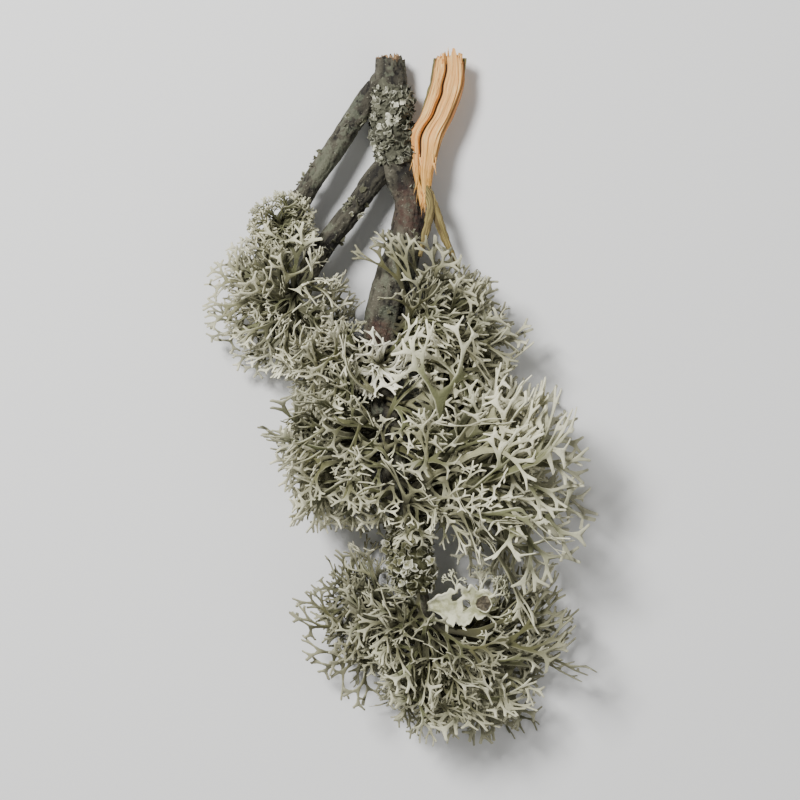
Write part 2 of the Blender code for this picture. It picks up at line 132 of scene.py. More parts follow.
# %% A socket that can be added and multiplied
class Value:
    """A number that changes over a surface: an output socket with arithmetic."""

    def __init__(self, tree, socket):
        self.tree = tree
        self.socket = socket

    def math(self, operation, *others):
        """A Math node with this value and others as its inputs."""
        node = self.tree.nodes.new("ShaderNodeMath")
        node.operation = operation
        for slot, value in zip(node.inputs, (self, *others)):
            if isinstance(value, Value):
                self.tree.links.new(value.socket, slot)
            else:
                slot.default_value = value
        return Value(self.tree, node.outputs[0])

    def __add__(self, other):
        return self.math("ADD", other)

    def __mul__(self, other):
        return self.math("MULTIPLY", other)

    def __rsub__(self, other):
        return self.math("MULTIPLY", -1.0) + other

    __radd__ = __add__
    __rmul__ = __mul__


# %% One material and its nodes
class Finish:
    """A material whose colour and relief are built up step by step."""

    def __init__(self, name, roughness):
        self.material = bpy.data.materials.new(name)
        self.material.use_nodes = True
        self.tree = self.material.node_tree
        self.shader = self.tree.nodes["Principled BSDF"]
        self.shader.inputs["Roughness"].default_value = roughness
        self.place = self.node("ShaderNodeTexCoord", "Object")

    def node(self, kind, output, settings=None, **inputs):
        """A node of any kind, with its settings first and then its sockets' values or links."""
        made = self.tree.nodes.new(kind)
        for name, value in (settings or {}).items():
            setattr(made, name, value)
        for name, value in inputs.items():
            slot = made.inputs[int(name[1:])] if name[1:].isdigit() else made.inputs[name]
            if isinstance(value, Value):
                self.tree.links.new(value.socket, slot)
            else:
                slot.default_value = value
        return Value(self.tree, made.outputs[output])

    def stored(self, name):
        """A value that the mesh holds under this name."""
        return self.node("ShaderNodeAttribute", "Fac", {"attribute_name": name})

    def noise(self, scale, detail=3.0, shift=0.0, place=None):
        """A soft noise from 0 to 1, with so many features a metre."""
        moved = self.node("ShaderNodeVectorMath", 0, {"operation": "ADD"}, _0=place or self.place,
                          _1=(shift, shift, shift))
        return self.node("ShaderNodeTexNoise", 0, Vector=moved, Scale=scale, Detail=detail,
                         Roughness=0.6)

    def rise(self, value, low, high):
        """0 where the value is under low, 1 where it is over high, and smooth between them."""
        return self.node("ShaderNodeMapRange", 0, {"interpolation_type": "SMOOTHSTEP"}, _0=value,
                         _1=low, _2=high, _3=0.0, _4=1.0)

    def mix(self, share, first, second):
        """A colour between two colours."""
        first, second = [colour if isinstance(colour, Value) else (*colour, 1.0)
                         for colour in (first, second)]
        return self.node("ShaderNodeMix", 2, {"data_type": "RGBA"}, _0=share, _6=first, _7=second)

    def near(self, centre, inner, outer):
        """1 within the inner distance of a point, 0 beyond the outer, both in metres."""
        far = self.node("ShaderNodeVectorMath", 1, {"operation": "DISTANCE"}, _0=self.place,
                        _1=tuple(centre))
        return 1.0 - self.rise(far, inner, outer)

    def colour(self, value):
        """Sets the finish's colour."""
        self.tree.links.new(value.socket, self.shader.inputs["Base Color"])

    def relief(self, height, depth, strength=0.6):
        """Fine relief of a depth in metres."""
        bump = self.node("ShaderNodeBump", 0, Strength=strength, Distance=depth, Height=height)
        self.tree.links.new(bump.socket, self.shader.inputs["Normal"])


def paint(red, green, blue):
    """A screen colour from 0 to 255 as the linear values that a shader takes."""
    shares = [value / 255 for value in (red, green, blue)]
    return tuple(((v + 0.055) / 1.055) ** 2.4 if v > 0.04 else v / 12.92 for v in shares)


print("white paper is", [round(value, 2) for value in paint(228, 228, 226)])

# %% [markdown]
# ## The stems' routes
#
# Each stem is known by a few points along its middle, with the radius at each. They are the
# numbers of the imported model, in millimetres, so every piece here lies exactly over its solid.
# A bent branch has no corners, so the points are joined by a smooth curve that runs through
# them, read every half millimetre or so.

# %% Points along the stems
ORIGIN = (-5.94, -5.63, 0.56)
MAIN_STEM = [
    (-8.8, 86.4, 5.2, 4.0), (-8.6, 78.0, 5.8, 4.3), (-8.6, 68.5, 6.3, 4.4),
    (-6.4, 57.0, 7.0, 4.6), (-3.6, 47.5, 7.9, 4.2), (-4.6, 37.0, 9.0, 4.8),
    (-7.4, 27.5, 10.0, 5.2), (-9.9, 18.7, 10.8, 5.0), (-11.2, 10.0, 11.6, 4.5),
    (-10.6, 0.0, 12.4, 4.0), (-9.4, -11.0, 13.0, 3.9), (-7.6, -24.8, 13.4, 3.6),
    (-4.4, -41.3, 13.4, 3.3), (-1.2, -60.5, 13.0, 2.9), (1.7, -75.9, 12.2, 2.3),
]
OUTER_STEM = [
    (-8.8, 84.0, 5.2, 2.9), (-14.0, 77.0, 6.0, 3.0), (-21.2, 66.0, 7.6, 2.9),
    (-27.4, 56.6, 8.8, 2.9), (-33.6, 47.3, 8.8, 2.8), (-41.0, 36.6, 6.4, 2.6),
    (-48.4, 23.1, 2.6, 2.2),
]
INNER_STEM = [
    (-7.0, 61.0, 6.8, 2.8), (-12.6, 54.2, 7.8, 3.0), (-19.3, 45.1, 9.0, 2.9),
    (-27.0, 34.7, 9.8, 2.9), (-33.6, 24.2, 9.2, 2.7), (-39.0, 13.6, 7.0, 2.2),
]
ROUTES = {"main_stem": MAIN_STEM, "outer_stem": OUTER_STEM, "inner_stem": INNER_STEM}
ROUTE_STEP = 0.5


def metres(point):
    """A point of the lists above, in metres from the twig's origin."""
    return Vector([(value - shift) * MM for value, shift in zip(point, ORIGIN)])


def smooth(points, step):
    """A smooth curve through rows of numbers whose first three are a place, read every step."""
    rows = [np.array(point, float) for point in points]
    rows = [2 * rows[0] - rows[1], *rows, 2 * rows[-1] - rows[-2]]
    read = []
    for before, start, end, after in zip(rows, rows[1:], rows[2:], rows[3:]):
        count = max(2, round(np.linalg.norm((end - start)[:3]) / step))
        for share in np.arange(count) / count:
            bend = (2 * before - 5 * start + 4 * end - after) * share ** 2
            turn = (3 * start - before - 3 * end + after) * share ** 3
            read.append(start + ((end - before) * share + bend + turn) / 2)
    return [*read, rows[-2]]


for name, route in ROUTES.items():
    print(name, len(smooth(route, ROUTE_STEP)), "points along it")

# %% [markdown]
# ## Tubes
#
# A stem starts as a round tube: a curve object with a bevel, converted to a mesh. Its caps come
# loose from the convert, so doubles are merged. The same helper makes plain fat tubes that the
# lichen's lobes must keep out of.


# %% A tube along a route
WELD = 1e-6


def show(name, data):
    """A new object in the scene, with a mesh or a curve."""
    thing = bpy.data.objects.new(name, data)
    bpy.context.collection.objects.link(thing)
    return thing


def tube(route, extra=0.0, sides=10):
    """A closed round tube object along a route, fatter than the route says by extra."""
    bpy.ops.object.select_all(action="DESELECT")
    curve = bpy.data.curves.new("tube", "CURVE")
    curve.dimensions = "3D"
    curve.bevel_depth = MM
    curve.bevel_resolution = sides // 2 - 2
    curve.use_fill_caps = True
    line = curve.splines.new("POLY")
    line.points.add(len(route) - 1)
    for point, (x, y, z, radius) in zip(line.points, route):
        point.co = (*metres((x, y, z)), 1.0)
        point.radius = radius + extra
    thing = show("tube", curve)
    bpy.context.view_layer.objects.active = thing
    thing.select_set(True)
    bpy.ops.object.convert(target="MESH")
    thing = bpy.context.object
    bpy.ops.object.mode_set(mode="EDIT")
    bpy.ops.mesh.select_all(action="SELECT")
    bpy.ops.mesh.remove_doubles(threshold=WELD)
    bpy.ops.mesh.normals_make_consistent(inside=False)
    bpy.ops.object.mode_set(mode="OBJECT")
    return thing


# %% Helpers for meshes and pieces
def points_of(mesh):
    """A mesh's points as rows of an array."""
    flat = np.empty(len(mesh.vertices) * 3)
    mesh.vertices.foreach_get("co", flat)
    return flat.reshape(-1, 3)


def store(mesh, name, values):
    """Keeps a value for each point of a mesh, or one for all, for its finish to read."""
    layer = mesh.attributes.get(name) or mesh.attributes.new(name, "FLOAT", "POINT")
    values = np.broadcast_to(values, len(mesh.vertices))
    layer.data.foreach_set("value", np.ascontiguousarray(values, dtype=np.float32))


def triangles(mesh):
    """How many triangles a mesh's faces come to."""
    return sum(len(face.vertices) - 2 for face in mesh.polygons)


def pick_faces(thing, wanted):
    """Enters edit mode with no faces selected but the wanted ones."""
    bpy.ops.object.mode_set(mode="EDIT")
    bpy.ops.mesh.select_mode(type="FACE")
    bpy.ops.mesh.select_all(action="DESELECT")
    for face in bmesh.from_edit_mesh(thing.data).faces:
        face.select_set(wanted(face))


def apply_modifier(kind, **settings):
    """Gives the active object a modifier with some settings, and applies it."""
    bpy.ops.object.modifier_add(type=kind)
    modifier = bpy.context.object.modifiers[0]
    for name, value in settings.items():
        setattr(modifier, name, value)
    bpy.ops.object.modifier_apply(modifier=modifier.name)


def finish_piece(thing, name, finish, slot, *nodes):
    """Names a finished piece, gives it its finish and puts it in the frame."""
    thing.name = name
    thing.data.name = name
    thing.data.materials.clear()
    thing.data.materials.append(finish.material)
    if nodes:
        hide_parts(*nodes)
    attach(thing, "root")
    print(name, triangles(thing.data), "triangles")


# %% [markdown]
# ## Bark
#
# The stems have grey-brown bark: long shallow ridges, cracks that run along the stem, a few
# swellings, and ends that are broken off ragged. A texture alone would leave a smooth outline,
# so the relief is pushed into the mesh: each point moves out or in by noises that are stretched
# along the stem. A tube's flat caps are first opened into rings of points, so that a break can be
# rough all over. What is finer than the mesh is left to the finish's bump.


# %% Weathering a stem
CAP_RINGS = 7
CAP_INSET = 0.12
RAGGED_REACH = 5.0


def open_cap(thing, end):
    """Insets the cap at one end of a tube ring by ring, so that a break has points to be rough."""
    place, radius = metres(end[:3]), end[3] * MM
    pick_faces(thing, lambda face: len(face.verts) == 3
               and (face.calc_center_median() - place).length < radius)
    bpy.ops.mesh.dissolve_faces()
    for step in range(CAP_RINGS):
        bpy.ops.mesh.inset(thickness=radius * CAP_INSET)
    bpy.ops.mesh.poke()
    bpy.ops.object.mode_set(mode="OBJECT")


def weathered(route, seed, sides, torn):
    """A tube with the relief of bark. Torn says which ends are ragged, and by how many mm."""
    line = smooth(route, ROUTE_STEP)
    thing = tube(line, 0.0, sides)
    open_cap(thing, line[0])
    open_cap(thing, line[-1])
    mesh = thing.data
    centres = np.array([metres(row[:3]) for row in line])
    radii = np.array([row[3] for row in line])
    steps = np.linalg.norm(np.diff(centres, axis=0), axis=1) / MM
    lengths = np.concatenate([[0.0], np.cumsum(steps)])
    runs = np.gradient(centres, axis=0)
    heights, broken = [], []
    for vert in mesh.vertices:
        place = np.array(vert.co)
        index = int(np.argmin(((centres - place) ** 2).sum(1)))
        run = Vector(runs[index]).normalized()
        out = Vector(place - centres[index])
        out -= run * out.dot(run)
        side = UP.cross(run).normalized()
        angle = math.atan2(out.z, out.dot(side))
        size = out.length / MM
        s = lengths[index]
        ring = Vector((math.cos(angle) * radii[index], math.sin(angle) * radii[index], 0.0))
        lump = noise.noise(ring * 0.13 + Vector((seed, 0.0, s * 0.09)))
        ridge = noise.noise(ring * 0.55 + Vector((0.0, seed, s * 0.12)))
        grain = noise.noise(ring * 1.5 + Vector((seed, seed, s * 0.45)))
        crack = noise.noise(ring * 0.8 + Vector((seed, 5.0, s * 0.16)))
        height = 0.55 * lump + 0.5 * ridge + 0.22 * grain - 0.45 * math.exp(-(crack / 0.07) ** 2)
        height *= min(1.0, radii[index] / 4.0)
        inner = size < radii[index] * 0.93
        if not inner:
            vert.co += out.normalized() * height * MM
        for end, far in ((0, s), (1, lengths[-1] - s)):
            if far < RAGGED_REACH and torn[end]:
                flat = Vector((size * math.cos(angle), size * math.sin(angle), end * 9.0))
                rag = noise.noise(flat * 0.7) + 0.8 * noise.noise(flat * 2.1)
                vert.co += run * rag * torn[end] * MM * (1.0 - far / RAGGED_REACH)
        vert.co.z = max(vert.co.z, 0.02 * MM)
        heights.append(height)
        broken.append(float(inner))
    store(mesh, "height", heights)
    store(mesh, "broken", broken)
    bpy.ops.object.shade_smooth()
    return thing


stems = {"main_stem": weathered(MAIN_STEM, 3.0, 48, (2.4, 1.5)),
         "outer_stem": weathered(OUTER_STEM, 11.0, 40, (0.0, 2.0)),
         "inner_stem": weathered(INNER_STEM, 17.0, 40, (0.0, 2.0))}
print("stems of", [triangles(thing.data) for thing in stems.values()], "triangles")

# %% [markdown]
# The bark's colour is not one grey-brown. Cracks are darker, ridges are worn paler, pale
# grey-green lichen dust sits in patches, and where the strip of wood tore off the bark is
# reddish. Each of these is a mask, and the masks are laid over one another from the largest to
# the smallest.

# %% Bark finish
bark = Finish("bark", 0.9)
height = bark.stored("height")
wide = bark.noise(90.0, 4.0)
fine = bark.noise(700.0, 4.0, 3.0)
speck = bark.noise(1500.0, 2.0, 5.0)
shade = bark.mix(bark.rise(wide, 0.35, 0.65), paint(50, 47, 37), paint(74, 70, 58))
shade = bark.mix(bark.rise(height + fine * 0.5, 0.15, 0.6) * 0.6, shade, paint(98, 94, 80))
shade = bark.mix(bark.rise(height * -1.0 + fine * 0.25, 0.15, 0.45), shade, paint(26, 23, 18))
dust = bark.rise(wide + fine * 0.45, 0.74, 0.82)
shade = bark.mix(dust * 0.55, shade, paint(98, 102, 84))
red = (bark.near((0.0045, 0.0515, 0.012), 0.004, 0.010)
       + bark.near((-0.0056, 0.0177, 0.015), 0.002, 0.006))
shade = bark.mix(red * bark.rise(fine, 0.3, 0.6) * 0.8, shade, paint(72, 48, 39))
shade = bark.mix(bark.rise(speck, 0.66, 0.72) * 0.6, shade, paint(156, 154, 134))
bare = bark.mix(bark.rise(fine, 0.35, 0.6), paint(92, 70, 48), paint(172, 138, 98))
shade = bark.mix(bark.stored("broken"), shade, bare)
bark.colour(shade)
bark.relief(fine + speck * 0.5, 0.0009, 0.8)
for name, thing in stems.items():
    finish_piece(thing, name + "_bark", bark, "bark", name)

# %% [markdown]
# ## Torn wood
#
# Where the branch was ripped off, a strip of bare wood stands beside the stem, orange, grooved
# along its middle and frayed at both ends. It is lofted: an outline is extruded from section to
# section in edit mode, and each new ring is set to the strip's place, width and thickness
# there. The outline carries fine teeth that run on through all sections, which is how long
# wood fibres look, and its groove wanders on the way down. Each end closes in smaller and
# smaller rings whose points stand at uneven heights.

# %% The sections of the strip of torn wood
# A section's x, y and z, its width and its thickness in mm.
TORN_STRIP = [
    (7.4, 86.8, 7.6, 7.6, 3.4), (6.8, 79.2, 7.8, 8.4, 4.2), (4.1, 71.5, 8.0, 8.4, 4.6),
    (1.2, 66.0, 8.4, 9.1, 4.8), (0.7, 60.5, 9.2, 7.2, 4.4), (0.3, 55.0, 10.2, 5.0, 3.6),
    (0.6, 49.0, 11.2, 2.6, 2.2),
]
SPLINTERS = [
    [(0.8, 52.0, 11.2, 1.3), (2.4, 47.0, 12.0, 1.1), (1.1, 40.0, 12.9, 1.0),
     (-0.6, 32.8, 13.6, 0.6)],
    [(0.8, 52.0, 11.0, 1.2), (3.0, 46.8, 11.6, 1.2), (6.2, 38.0, 10.6, 1.0),
     (9.9, 29.4, 8.8, 0.5)],
]
OUTLINE = [
    (-0.5, -0.9), (0.3, -1.0), (0.9, -0.6), (1.0, 0.3), (0.62, 0.88), (-0.05, 1.0),
    (-0.22, 0.35), (-0.38, 0.95), (-0.85, 0.7), (-1.0, 0.1),
]
GROOVE_CORNER = 6
SIDE_STEPS = 6
RING_POINTS = SIDE_STEPS * len(OUTLINE)
STRIP_STEP = 0.8
END_SHARES = (0.82, 0.6, 0.38, 0.16)


def strip_ring(row, index, last):
    """The points of one section: a toothed outline, its ends torn to different lengths."""
    x, y, z, width, thickness = row
    ring = []
    shift = 0.12 * noise.noise(Vector((y * 0.22, 4.0, 0.0))) - 0.28 * max(0.0, index / last - 0.3)
    outline = [(across + shift if over > 0.9 or corner == GROOVE_CORNER else across, over)
               for corner, (across, over) in enumerate(OUTLINE)]
    for place in range(RING_POINTS):
        corner, share = divmod(place / SIDE_STEPS, 1.0)
        first, second = outline[int(corner)], outline[(int(corner) + 1) % len(outline)]
        across = first[0] + (second[0] - first[0]) * share
        over = first[1] + (second[1] - first[1]) * share
        tooth = 0.14 * noise.noise(Vector((across * 9.0, over * 9.0, y * 0.08)))
        tooth += 0.03 * (-1) ** place + 0.08 * noise.noise(Vector((place * 0.71, y * 0.05, 6.0)))
        far = min(index / 4.0, (last - index) / 9.0)
        tear = noise.noise(Vector((across * 4.5, over * 2.5, index * 0.01))) * max(0.0, 1.0 - far)
        ring.append(metres((x + across * (1 + tooth) * width / 2, y + tear * 6.0,
                            z + over * (1 + tooth) * thickness / 2)))
    return ring


def end_rings(ring):
    """Smaller and smaller rings within a torn end, whose points stand at uneven heights."""
    centre = sum(ring, Vector()) / len(ring)
    made = []
    for share in END_SHARES:
        inner = [centre + (point - centre) * share for point in ring]
        for point in inner:
            point.y += 1.6 * MM * noise.noise(Vector((point.x * 1.3, 3.0 * MM, point.z * 2.2)) / MM)
        made.append(inner)
    return made


# %% Lofting the strip
def loft(sections):
    """A closed object through sections of equal numbers of points."""
    bpy.ops.object.select_all(action="DESELECT")
    bpy.ops.mesh.primitive_circle_add(vertices=len(sections[0]), radius=MM, fill_type="NGON")
    thing = bpy.context.object
    bpy.ops.object.mode_set(mode="EDIT")
    bm = bmesh.from_edit_mesh(thing.data)
    bm.verts.ensure_lookup_table()
    bpy.ops.mesh.select_mode(type="FACE")
    for vert, place in zip(bm.verts, sections[0]):
        vert.co = place
    for section in sections[1:]:
        start = len(bm.verts)
        bpy.ops.mesh.extrude_region_move()
        bm.verts.ensure_lookup_table()
        for vert, place in zip(bm.verts[start:], section):
            vert.co = place
    bpy.ops.mesh.select_all(action="SELECT")
    bpy.ops.mesh.normals_make_consistent(inside=False)
    bpy.ops.object.mode_set(mode="OBJECT")
    return thing


def join(things):
    """One object from several, which takes the first one's place in the list."""
    bpy.ops.object.select_all(action="DESELECT")
    for thing in things:
        thing.select_set(True)
    bpy.context.view_layer.objects.active = things[0]
    bpy.ops.object.join()
    bpy.ops.object.shade_smooth()
    return things[0]


rows = smooth(TORN_STRIP, STRIP_STEP)
rings = [strip_ring(row, index, len(rows) - 1) for index, row in enumerate(rows)]
sections = [*reversed(end_rings(rings[0])), *rings, *end_rings(rings[-1])]
strip = loft(sections)
depth = len(END_SHARES)
inward = np.array([*range(depth, 0, -1), *[0] * len(rings), *range(1, depth + 1)])
inward = np.repeat(inward, RING_POINTS)
around = np.tile(np.arange(RING_POINTS) / SIDE_STEPS, len(sections))
groove = np.exp(-((around - GROOVE_CORNER) / 0.45) ** 2)
# A band along each of the strip's two outer edges.
rind = np.exp(-((around - 9.2) / 0.5) ** 2) + np.exp(-((around - 3.0) / 0.4) ** 2)
store(strip.data, "across", around)
store(strip.data, "run", np.repeat(np.arange(len(sections)) * STRIP_STEP, RING_POINTS))
store(strip.data, "groove", np.where(inward > 1, 0.25, groove))
store(strip.data, "rind", np.where(inward > 1, 0.5, rind))
print("strip", len(strip.data.vertices), "points")

# %% [markdown]
# Two thin splinters run on from the strip's lower end, with slivers of greenish bark at its
# upper edges. Loose fibres bristle where the wood gave way. One fibre is a thin cone of four
# sides, bent a little, and it is made anew with another
# length and lean each time.

# %% Splinters, slivers and fibres
SLIVER_STEP = 0.6
SLIVER_SIDES = 12
FIBRES = 110


def rough_tube(route, seed, olive):
    """A thin flat sliver of wood or bark with lengthwise ridges."""
    line = smooth(route, SLIVER_STEP)
    thing = tube(line, 0.0, SLIVER_SIDES)
    centres = np.array([metres(row[:3]) for row in line])
    for vert in thing.data.vertices:
        centre = Vector(centres[((centres - np.array(vert.co)) ** 2).sum(1).argmin()])
        out = vert.co - centre
        angle = math.atan2(out.z, out.x)
        ridge = noise.noise(Vector((math.cos(angle) * 2.2, math.sin(angle) * 2.2,
                                    vert.co.y / MM * 0.12 + seed)))
        nick = noise.noise(vert.co / MM * 0.8 + Vector((seed, 0.0, 0.0)))
        out *= 1.0 + 0.45 * ridge + 0.3 * nick
        vert.co = centre + Vector((out.x, out.y, out.z * 0.6))
    order = np.arange(len(thing.data.vertices))
    store(thing.data, "across", order % SLIVER_SIDES * 0.3)
    store(thing.data, "run", order / SLIVER_SIDES * SLIVER_STEP + seed * 40)
    store(thing.data, "olive", olive)
    return thing


def fibre(rng, foot, heading, length):
    """One loose fibre that stands off the wood from its foot."""
    bpy.ops.object.select_all(action="DESELECT")
    bpy.ops.mesh.primitive_cone_add(vertices=4, radius1=rng.uniform(0.12, 0.3) * MM, radius2=0.0,
                                    depth=length * MM)
    thing = bpy.context.object
    bpy.ops.object.mode_set(mode="EDIT")
    bpy.ops.mesh.subdivide(number_cuts=2)
    bpy.ops.object.mode_set(mode="OBJECT")
    turn = UP.rotation_difference(heading)
    bend = Vector([rng.uniform(-1.0, 1.0) for axis in range(3)]) * rng.uniform(0.0, 0.25)
    for vert in thing.data.vertices:
        share = vert.co.z / (length * MM) + 0.5
        vert.co = foot + turn @ (vert.co + Vector((0.0, 0.0, length / 2 * MM)))
        vert.co += bend * share ** 2 * length * MM
    store(thing.data, "across", rng.uniform(0.0, 9.0))
    return thing


rng = random.Random("fibres")
pieces = [strip]
buried = (0.6, 58.0, 9.6, 0.3)
pieces += [rough_tube([buried, *route], number, 0.95) for number, route in enumerate(SPLINTERS)]
for seed, side, drop, radii in ((5, -0.5, 0.5, (0.5, 0.9, 0.2)), (6, 0.5, 0.3, (0.8, 0.25))):
    edge = [(x + width * side, y, z - drop, radius)
            for (x, y, z, width, thickness), radius in zip(TORN_STRIP, radii)]
    pieces.append(rough_tube(edge, seed, 1.0))
for number in range(FIBRES):
    lower = number % 3 > 0
    x, y, z, width, thickness = rng.choice(rows[-16:] if lower else rows[:4])
    around = rng.uniform(-0.9, 0.9)
    foot = metres((x + around * width / 2, y, z + rng.uniform(0.2, 0.9) * thickness / 2))
    down = Vector((rng.uniform(-0.22, 0.22), -1.0 if lower else 1.0, rng.uniform(-0.1, 0.22)))
    pieces.append(fibre(rng, foot, down.normalized(), rng.uniform(2.0, 5.5) if lower else 1.6))
torn_wood = join(pieces)
bpy.ops.object.shade_smooth_by_angle(angle=math.radians(28))

# %% [markdown]
# The bare wood is orange-tan with fine pale and dark streaks along its fibres, and the groove
# is dark brown. The streaks are a noise read in the strip's own coordinates, around and along
# it, so they follow every bend of the wood. The strip's two outer edges are darker brown in
# patches, and the slivers and splinters are olive.

# %% Torn wood finish
wood = Finish("torn_wood", 0.75)
coil = wood.node("ShaderNodeCombineXYZ", 0, None, X=wood.stored("across"),
                 Y=wood.stored("run") * 0.015, Z=0.0)
streak = wood.noise(2.6, 4.0, 1.0, coil)
hair = wood.noise(9.0, 3.0, 7.0, coil)
blotch = wood.noise(120.0, 2.0)
left = wood.rise(wood.stored("across"), 6.2, 7.2)
shade = wood.mix(left, paint(228, 164, 92), paint(200, 126, 50))
shade = wood.mix(wood.rise(streak, 0.35, 0.65) * 0.7, shade, paint(248, 204, 128))
shade = wood.mix(wood.rise(hair, 0.54, 0.66) * 0.7, shade, paint(255, 232, 164))
dark = wood.rise(hair * -1.0, -0.44, -0.34) * (left * 0.5 + 0.4)
shade = wood.mix(dark, shade, paint(122, 70, 26))
yellowed = wood.near((0.0065, 0.060, 0.012), 0.002, 0.013) * wood.rise(blotch, 0.35, 0.6)
shade = wood.mix(yellowed * 0.7, shade, paint(200, 148, 52))
# Darker brown along the strip's two outer edges, in patches.
shade = wood.mix(wood.stored("rind") * wood.rise(streak, 0.25, 0.6), shade, paint(122, 74, 32))
shade = wood.mix(wood.rise(wood.stored("groove"), 0.2, 0.75), shade, paint(78, 44, 16))
olive = wood.mix(wood.rise(streak, 0.35, 0.65), paint(52, 46, 24), paint(122, 112, 62))
olive = wood.mix(wood.rise(hair, 0.5, 0.6) * 0.6, olive, paint(178, 160, 98))
shade = wood.mix(wood.stored("olive"), shade, olive)
wood.colour(shade)
wood.relief(streak + hair * 0.7, 0.0004, 0.8)
finish_piece(torn_wood, "torn_wood_fibres", wood, "wood", "torn_wood")

# %% [markdown]
# ## A lobe of lichen
#
# Each lobe is a flat strap that forks in two up to five times, and its branches end in short
# tips. It is modelled lying flat along +X, as one would by hand: a cube's end face is extruded
# and squared up to its new heading, cut into a left and a right half, and each half is extruded
# again. The headings and lengths are random, but each branch draws them from its own path, such
# as left, left, right. So a plain lobe with two forks and a fine one with five share their first
# branches, and the plain one can stand for the fine one while its place is looked for.
#
# Four looks say how a lobe forks: the plain one, the fine one of the long lobes, a short one for
# the middle of a tuft, and a broad one like antlers for the white tuft.

# %% Straps that fork
# For each level of branches: the share of the lobe's length, and the width and thickness in mm
# at its end. Forks are half angles in degrees. Wander and slope are the degrees by which a
# branch may stray to the side and up or down.
PLAIN = {"shares": (0.30, 0.26, 0.44), "widths": (2.5, 1.9, 0.9), "depths": (0.8, 0.8, 0.0),
         "forks": (27.0, 25.0), "wander": 6, "slope": 13}
FINE = {"shares": (0.30, 0.26, 0.16, 0.13, 0.10, 0.08),
        "widths": (1.5, 1.15, 0.9, 0.8, 0.78, 0.95),
        "depths": (0.75, 0.7, 0.6, 0.5, 0.45, 0.4), "forks": (27.0, 25.0, 29.0, 33.0, 38.0),
        "wander": 24, "slope": 30}
SHORT = {"shares": (0.33, 0.26, 0.20, 0.15, 0.12), "widths": (1.5, 1.15, 0.9, 0.8, 0.95),
         "depths": (0.75, 0.7, 0.55, 0.48, 0.4), "forks": (27.0, 25.0, 31.0, 37.0), "wander": 26,
         "slope": 32}
ANTLER = {"shares": (0.30, 0.28, 0.26, 0.20), "widths": (1.8, 1.55, 1.35, 1.1),
          "depths": (0.8, 0.75, 0.65, 0.4), "forks": (27.0, 30.0, 36.0), "wander": 26, "slope": 28}
LOBE_START = 0.07
LOBE_FOOT_WIDTH = 1.6
LOBE_DEPTH = 0.8
LOBE_REFERENCE = 30.0
ROUNDED_FROM = 16.0
FORK_CREASE = 0.8
TIP_CREASE = 0.35
EARLY_END = 0.12


def only(bm, place):
    """Selects nothing but the face at a place."""
    bpy.ops.mesh.select_all(action="DESELECT")
    face = min(bm.faces, key=lambda face: (face.calc_center_median() - place).length_squared)
    face.select_set(True)


def square_up(bm, face, middle, heading, slope, width, depth, along):
    """Sets an end face to its middle, heading, width and depth, and stores where it is."""
    old = face.calc_center_median()
    side = Vector((-math.sin(heading), math.cos(heading), 0.0))
    forward = Vector((side.y * math.cos(slope), -side.x * math.cos(slope), math.sin(slope)))
    up = forward.cross(side)
    layers = bm.verts.layers.float
    for vert in face.verts:
        offset = vert.co - old
        left = math.copysign(1.0, offset.dot(side))
        top = math.copysign(1.0, offset.z)
        vert.co = middle + side * left * width / 2 + up * top * depth / 2
        vert[layers["lift"]] = middle.z
        vert[layers["along"]] = along
        vert[layers["margin"]] = left
        vert[layers["under"]] = float(top < 0)
        vert[layers["crease_vert"]] = 0.0


def grow(bm, place, heading, level, path, length, girth, extra, look):
    """Extrudes one strap from the end face at a place, and forks it until the last level."""
    rng = random.Random(path)
    free = level > 1 and look is not PLAIN
    wander, slant = (look["wander"], look["slope"]) if free else (PLAIN["wander"], PLAIN["slope"])
    heading += math.radians(rng.uniform(-wander, wander))
    slope = math.radians(rng.uniform(-slant, slant))
    forward = Vector((math.cos(heading) * math.cos(slope), math.sin(heading) * math.cos(slope),
                      math.sin(slope)))
    last = level == len(look["shares"]) - 1 or (free and level > 2 and rng.random() < EARLY_END)
    reach = look["shares"][level] * length * rng.uniform(0.85, 1.15)
    only(bm, place)
    bpy.ops.mesh.extrude_region_move()
    end = next(face for face in bm.faces if face.select)
    width = look["widths"][-1 if last else level] * girth + extra
    depth = look["depths"][-1 if last else level] * girth + extra
    start = end.calc_center_median()
    square_up(bm, end, start + forward * reach, heading, slope, width, depth,
              sum(look["shares"][:level + 1]))
    crease = bm.verts.layers.float["crease_vert"]
    if last:
        for vert in end.verts:
            vert[crease] = TIP_CREASE
        return
    bpy.ops.mesh.select_all(action="DESELECT")
    middle = end.calc_center_median()
    for edge in end.edges:
        edge.select_set((edge.verts[0].co.z > middle.z) == (edge.verts[1].co.z > middle.z))
    bpy.ops.mesh.subdivide(number_cuts=1)
    side = Vector((-math.sin(heading), math.cos(heading), 0.0))
    split = [face for face in bm.faces if face.select]
    for vert in set(split[0].verts) & set(split[1].verts):
        vert[crease] = FORK_CREASE
    halves = [face.calc_center_median() for face in split]
    halves.sort(key=lambda half: half.dot(side))
    for half, sign, mark in zip(halves, (-1, 1), "rl"):
        turn = math.radians(look["forks"][level]) * rng.uniform(0.75, 1.25)
        grow(bm, half, heading + sign * turn, level + 1, path + mark, length, girth, extra, look)


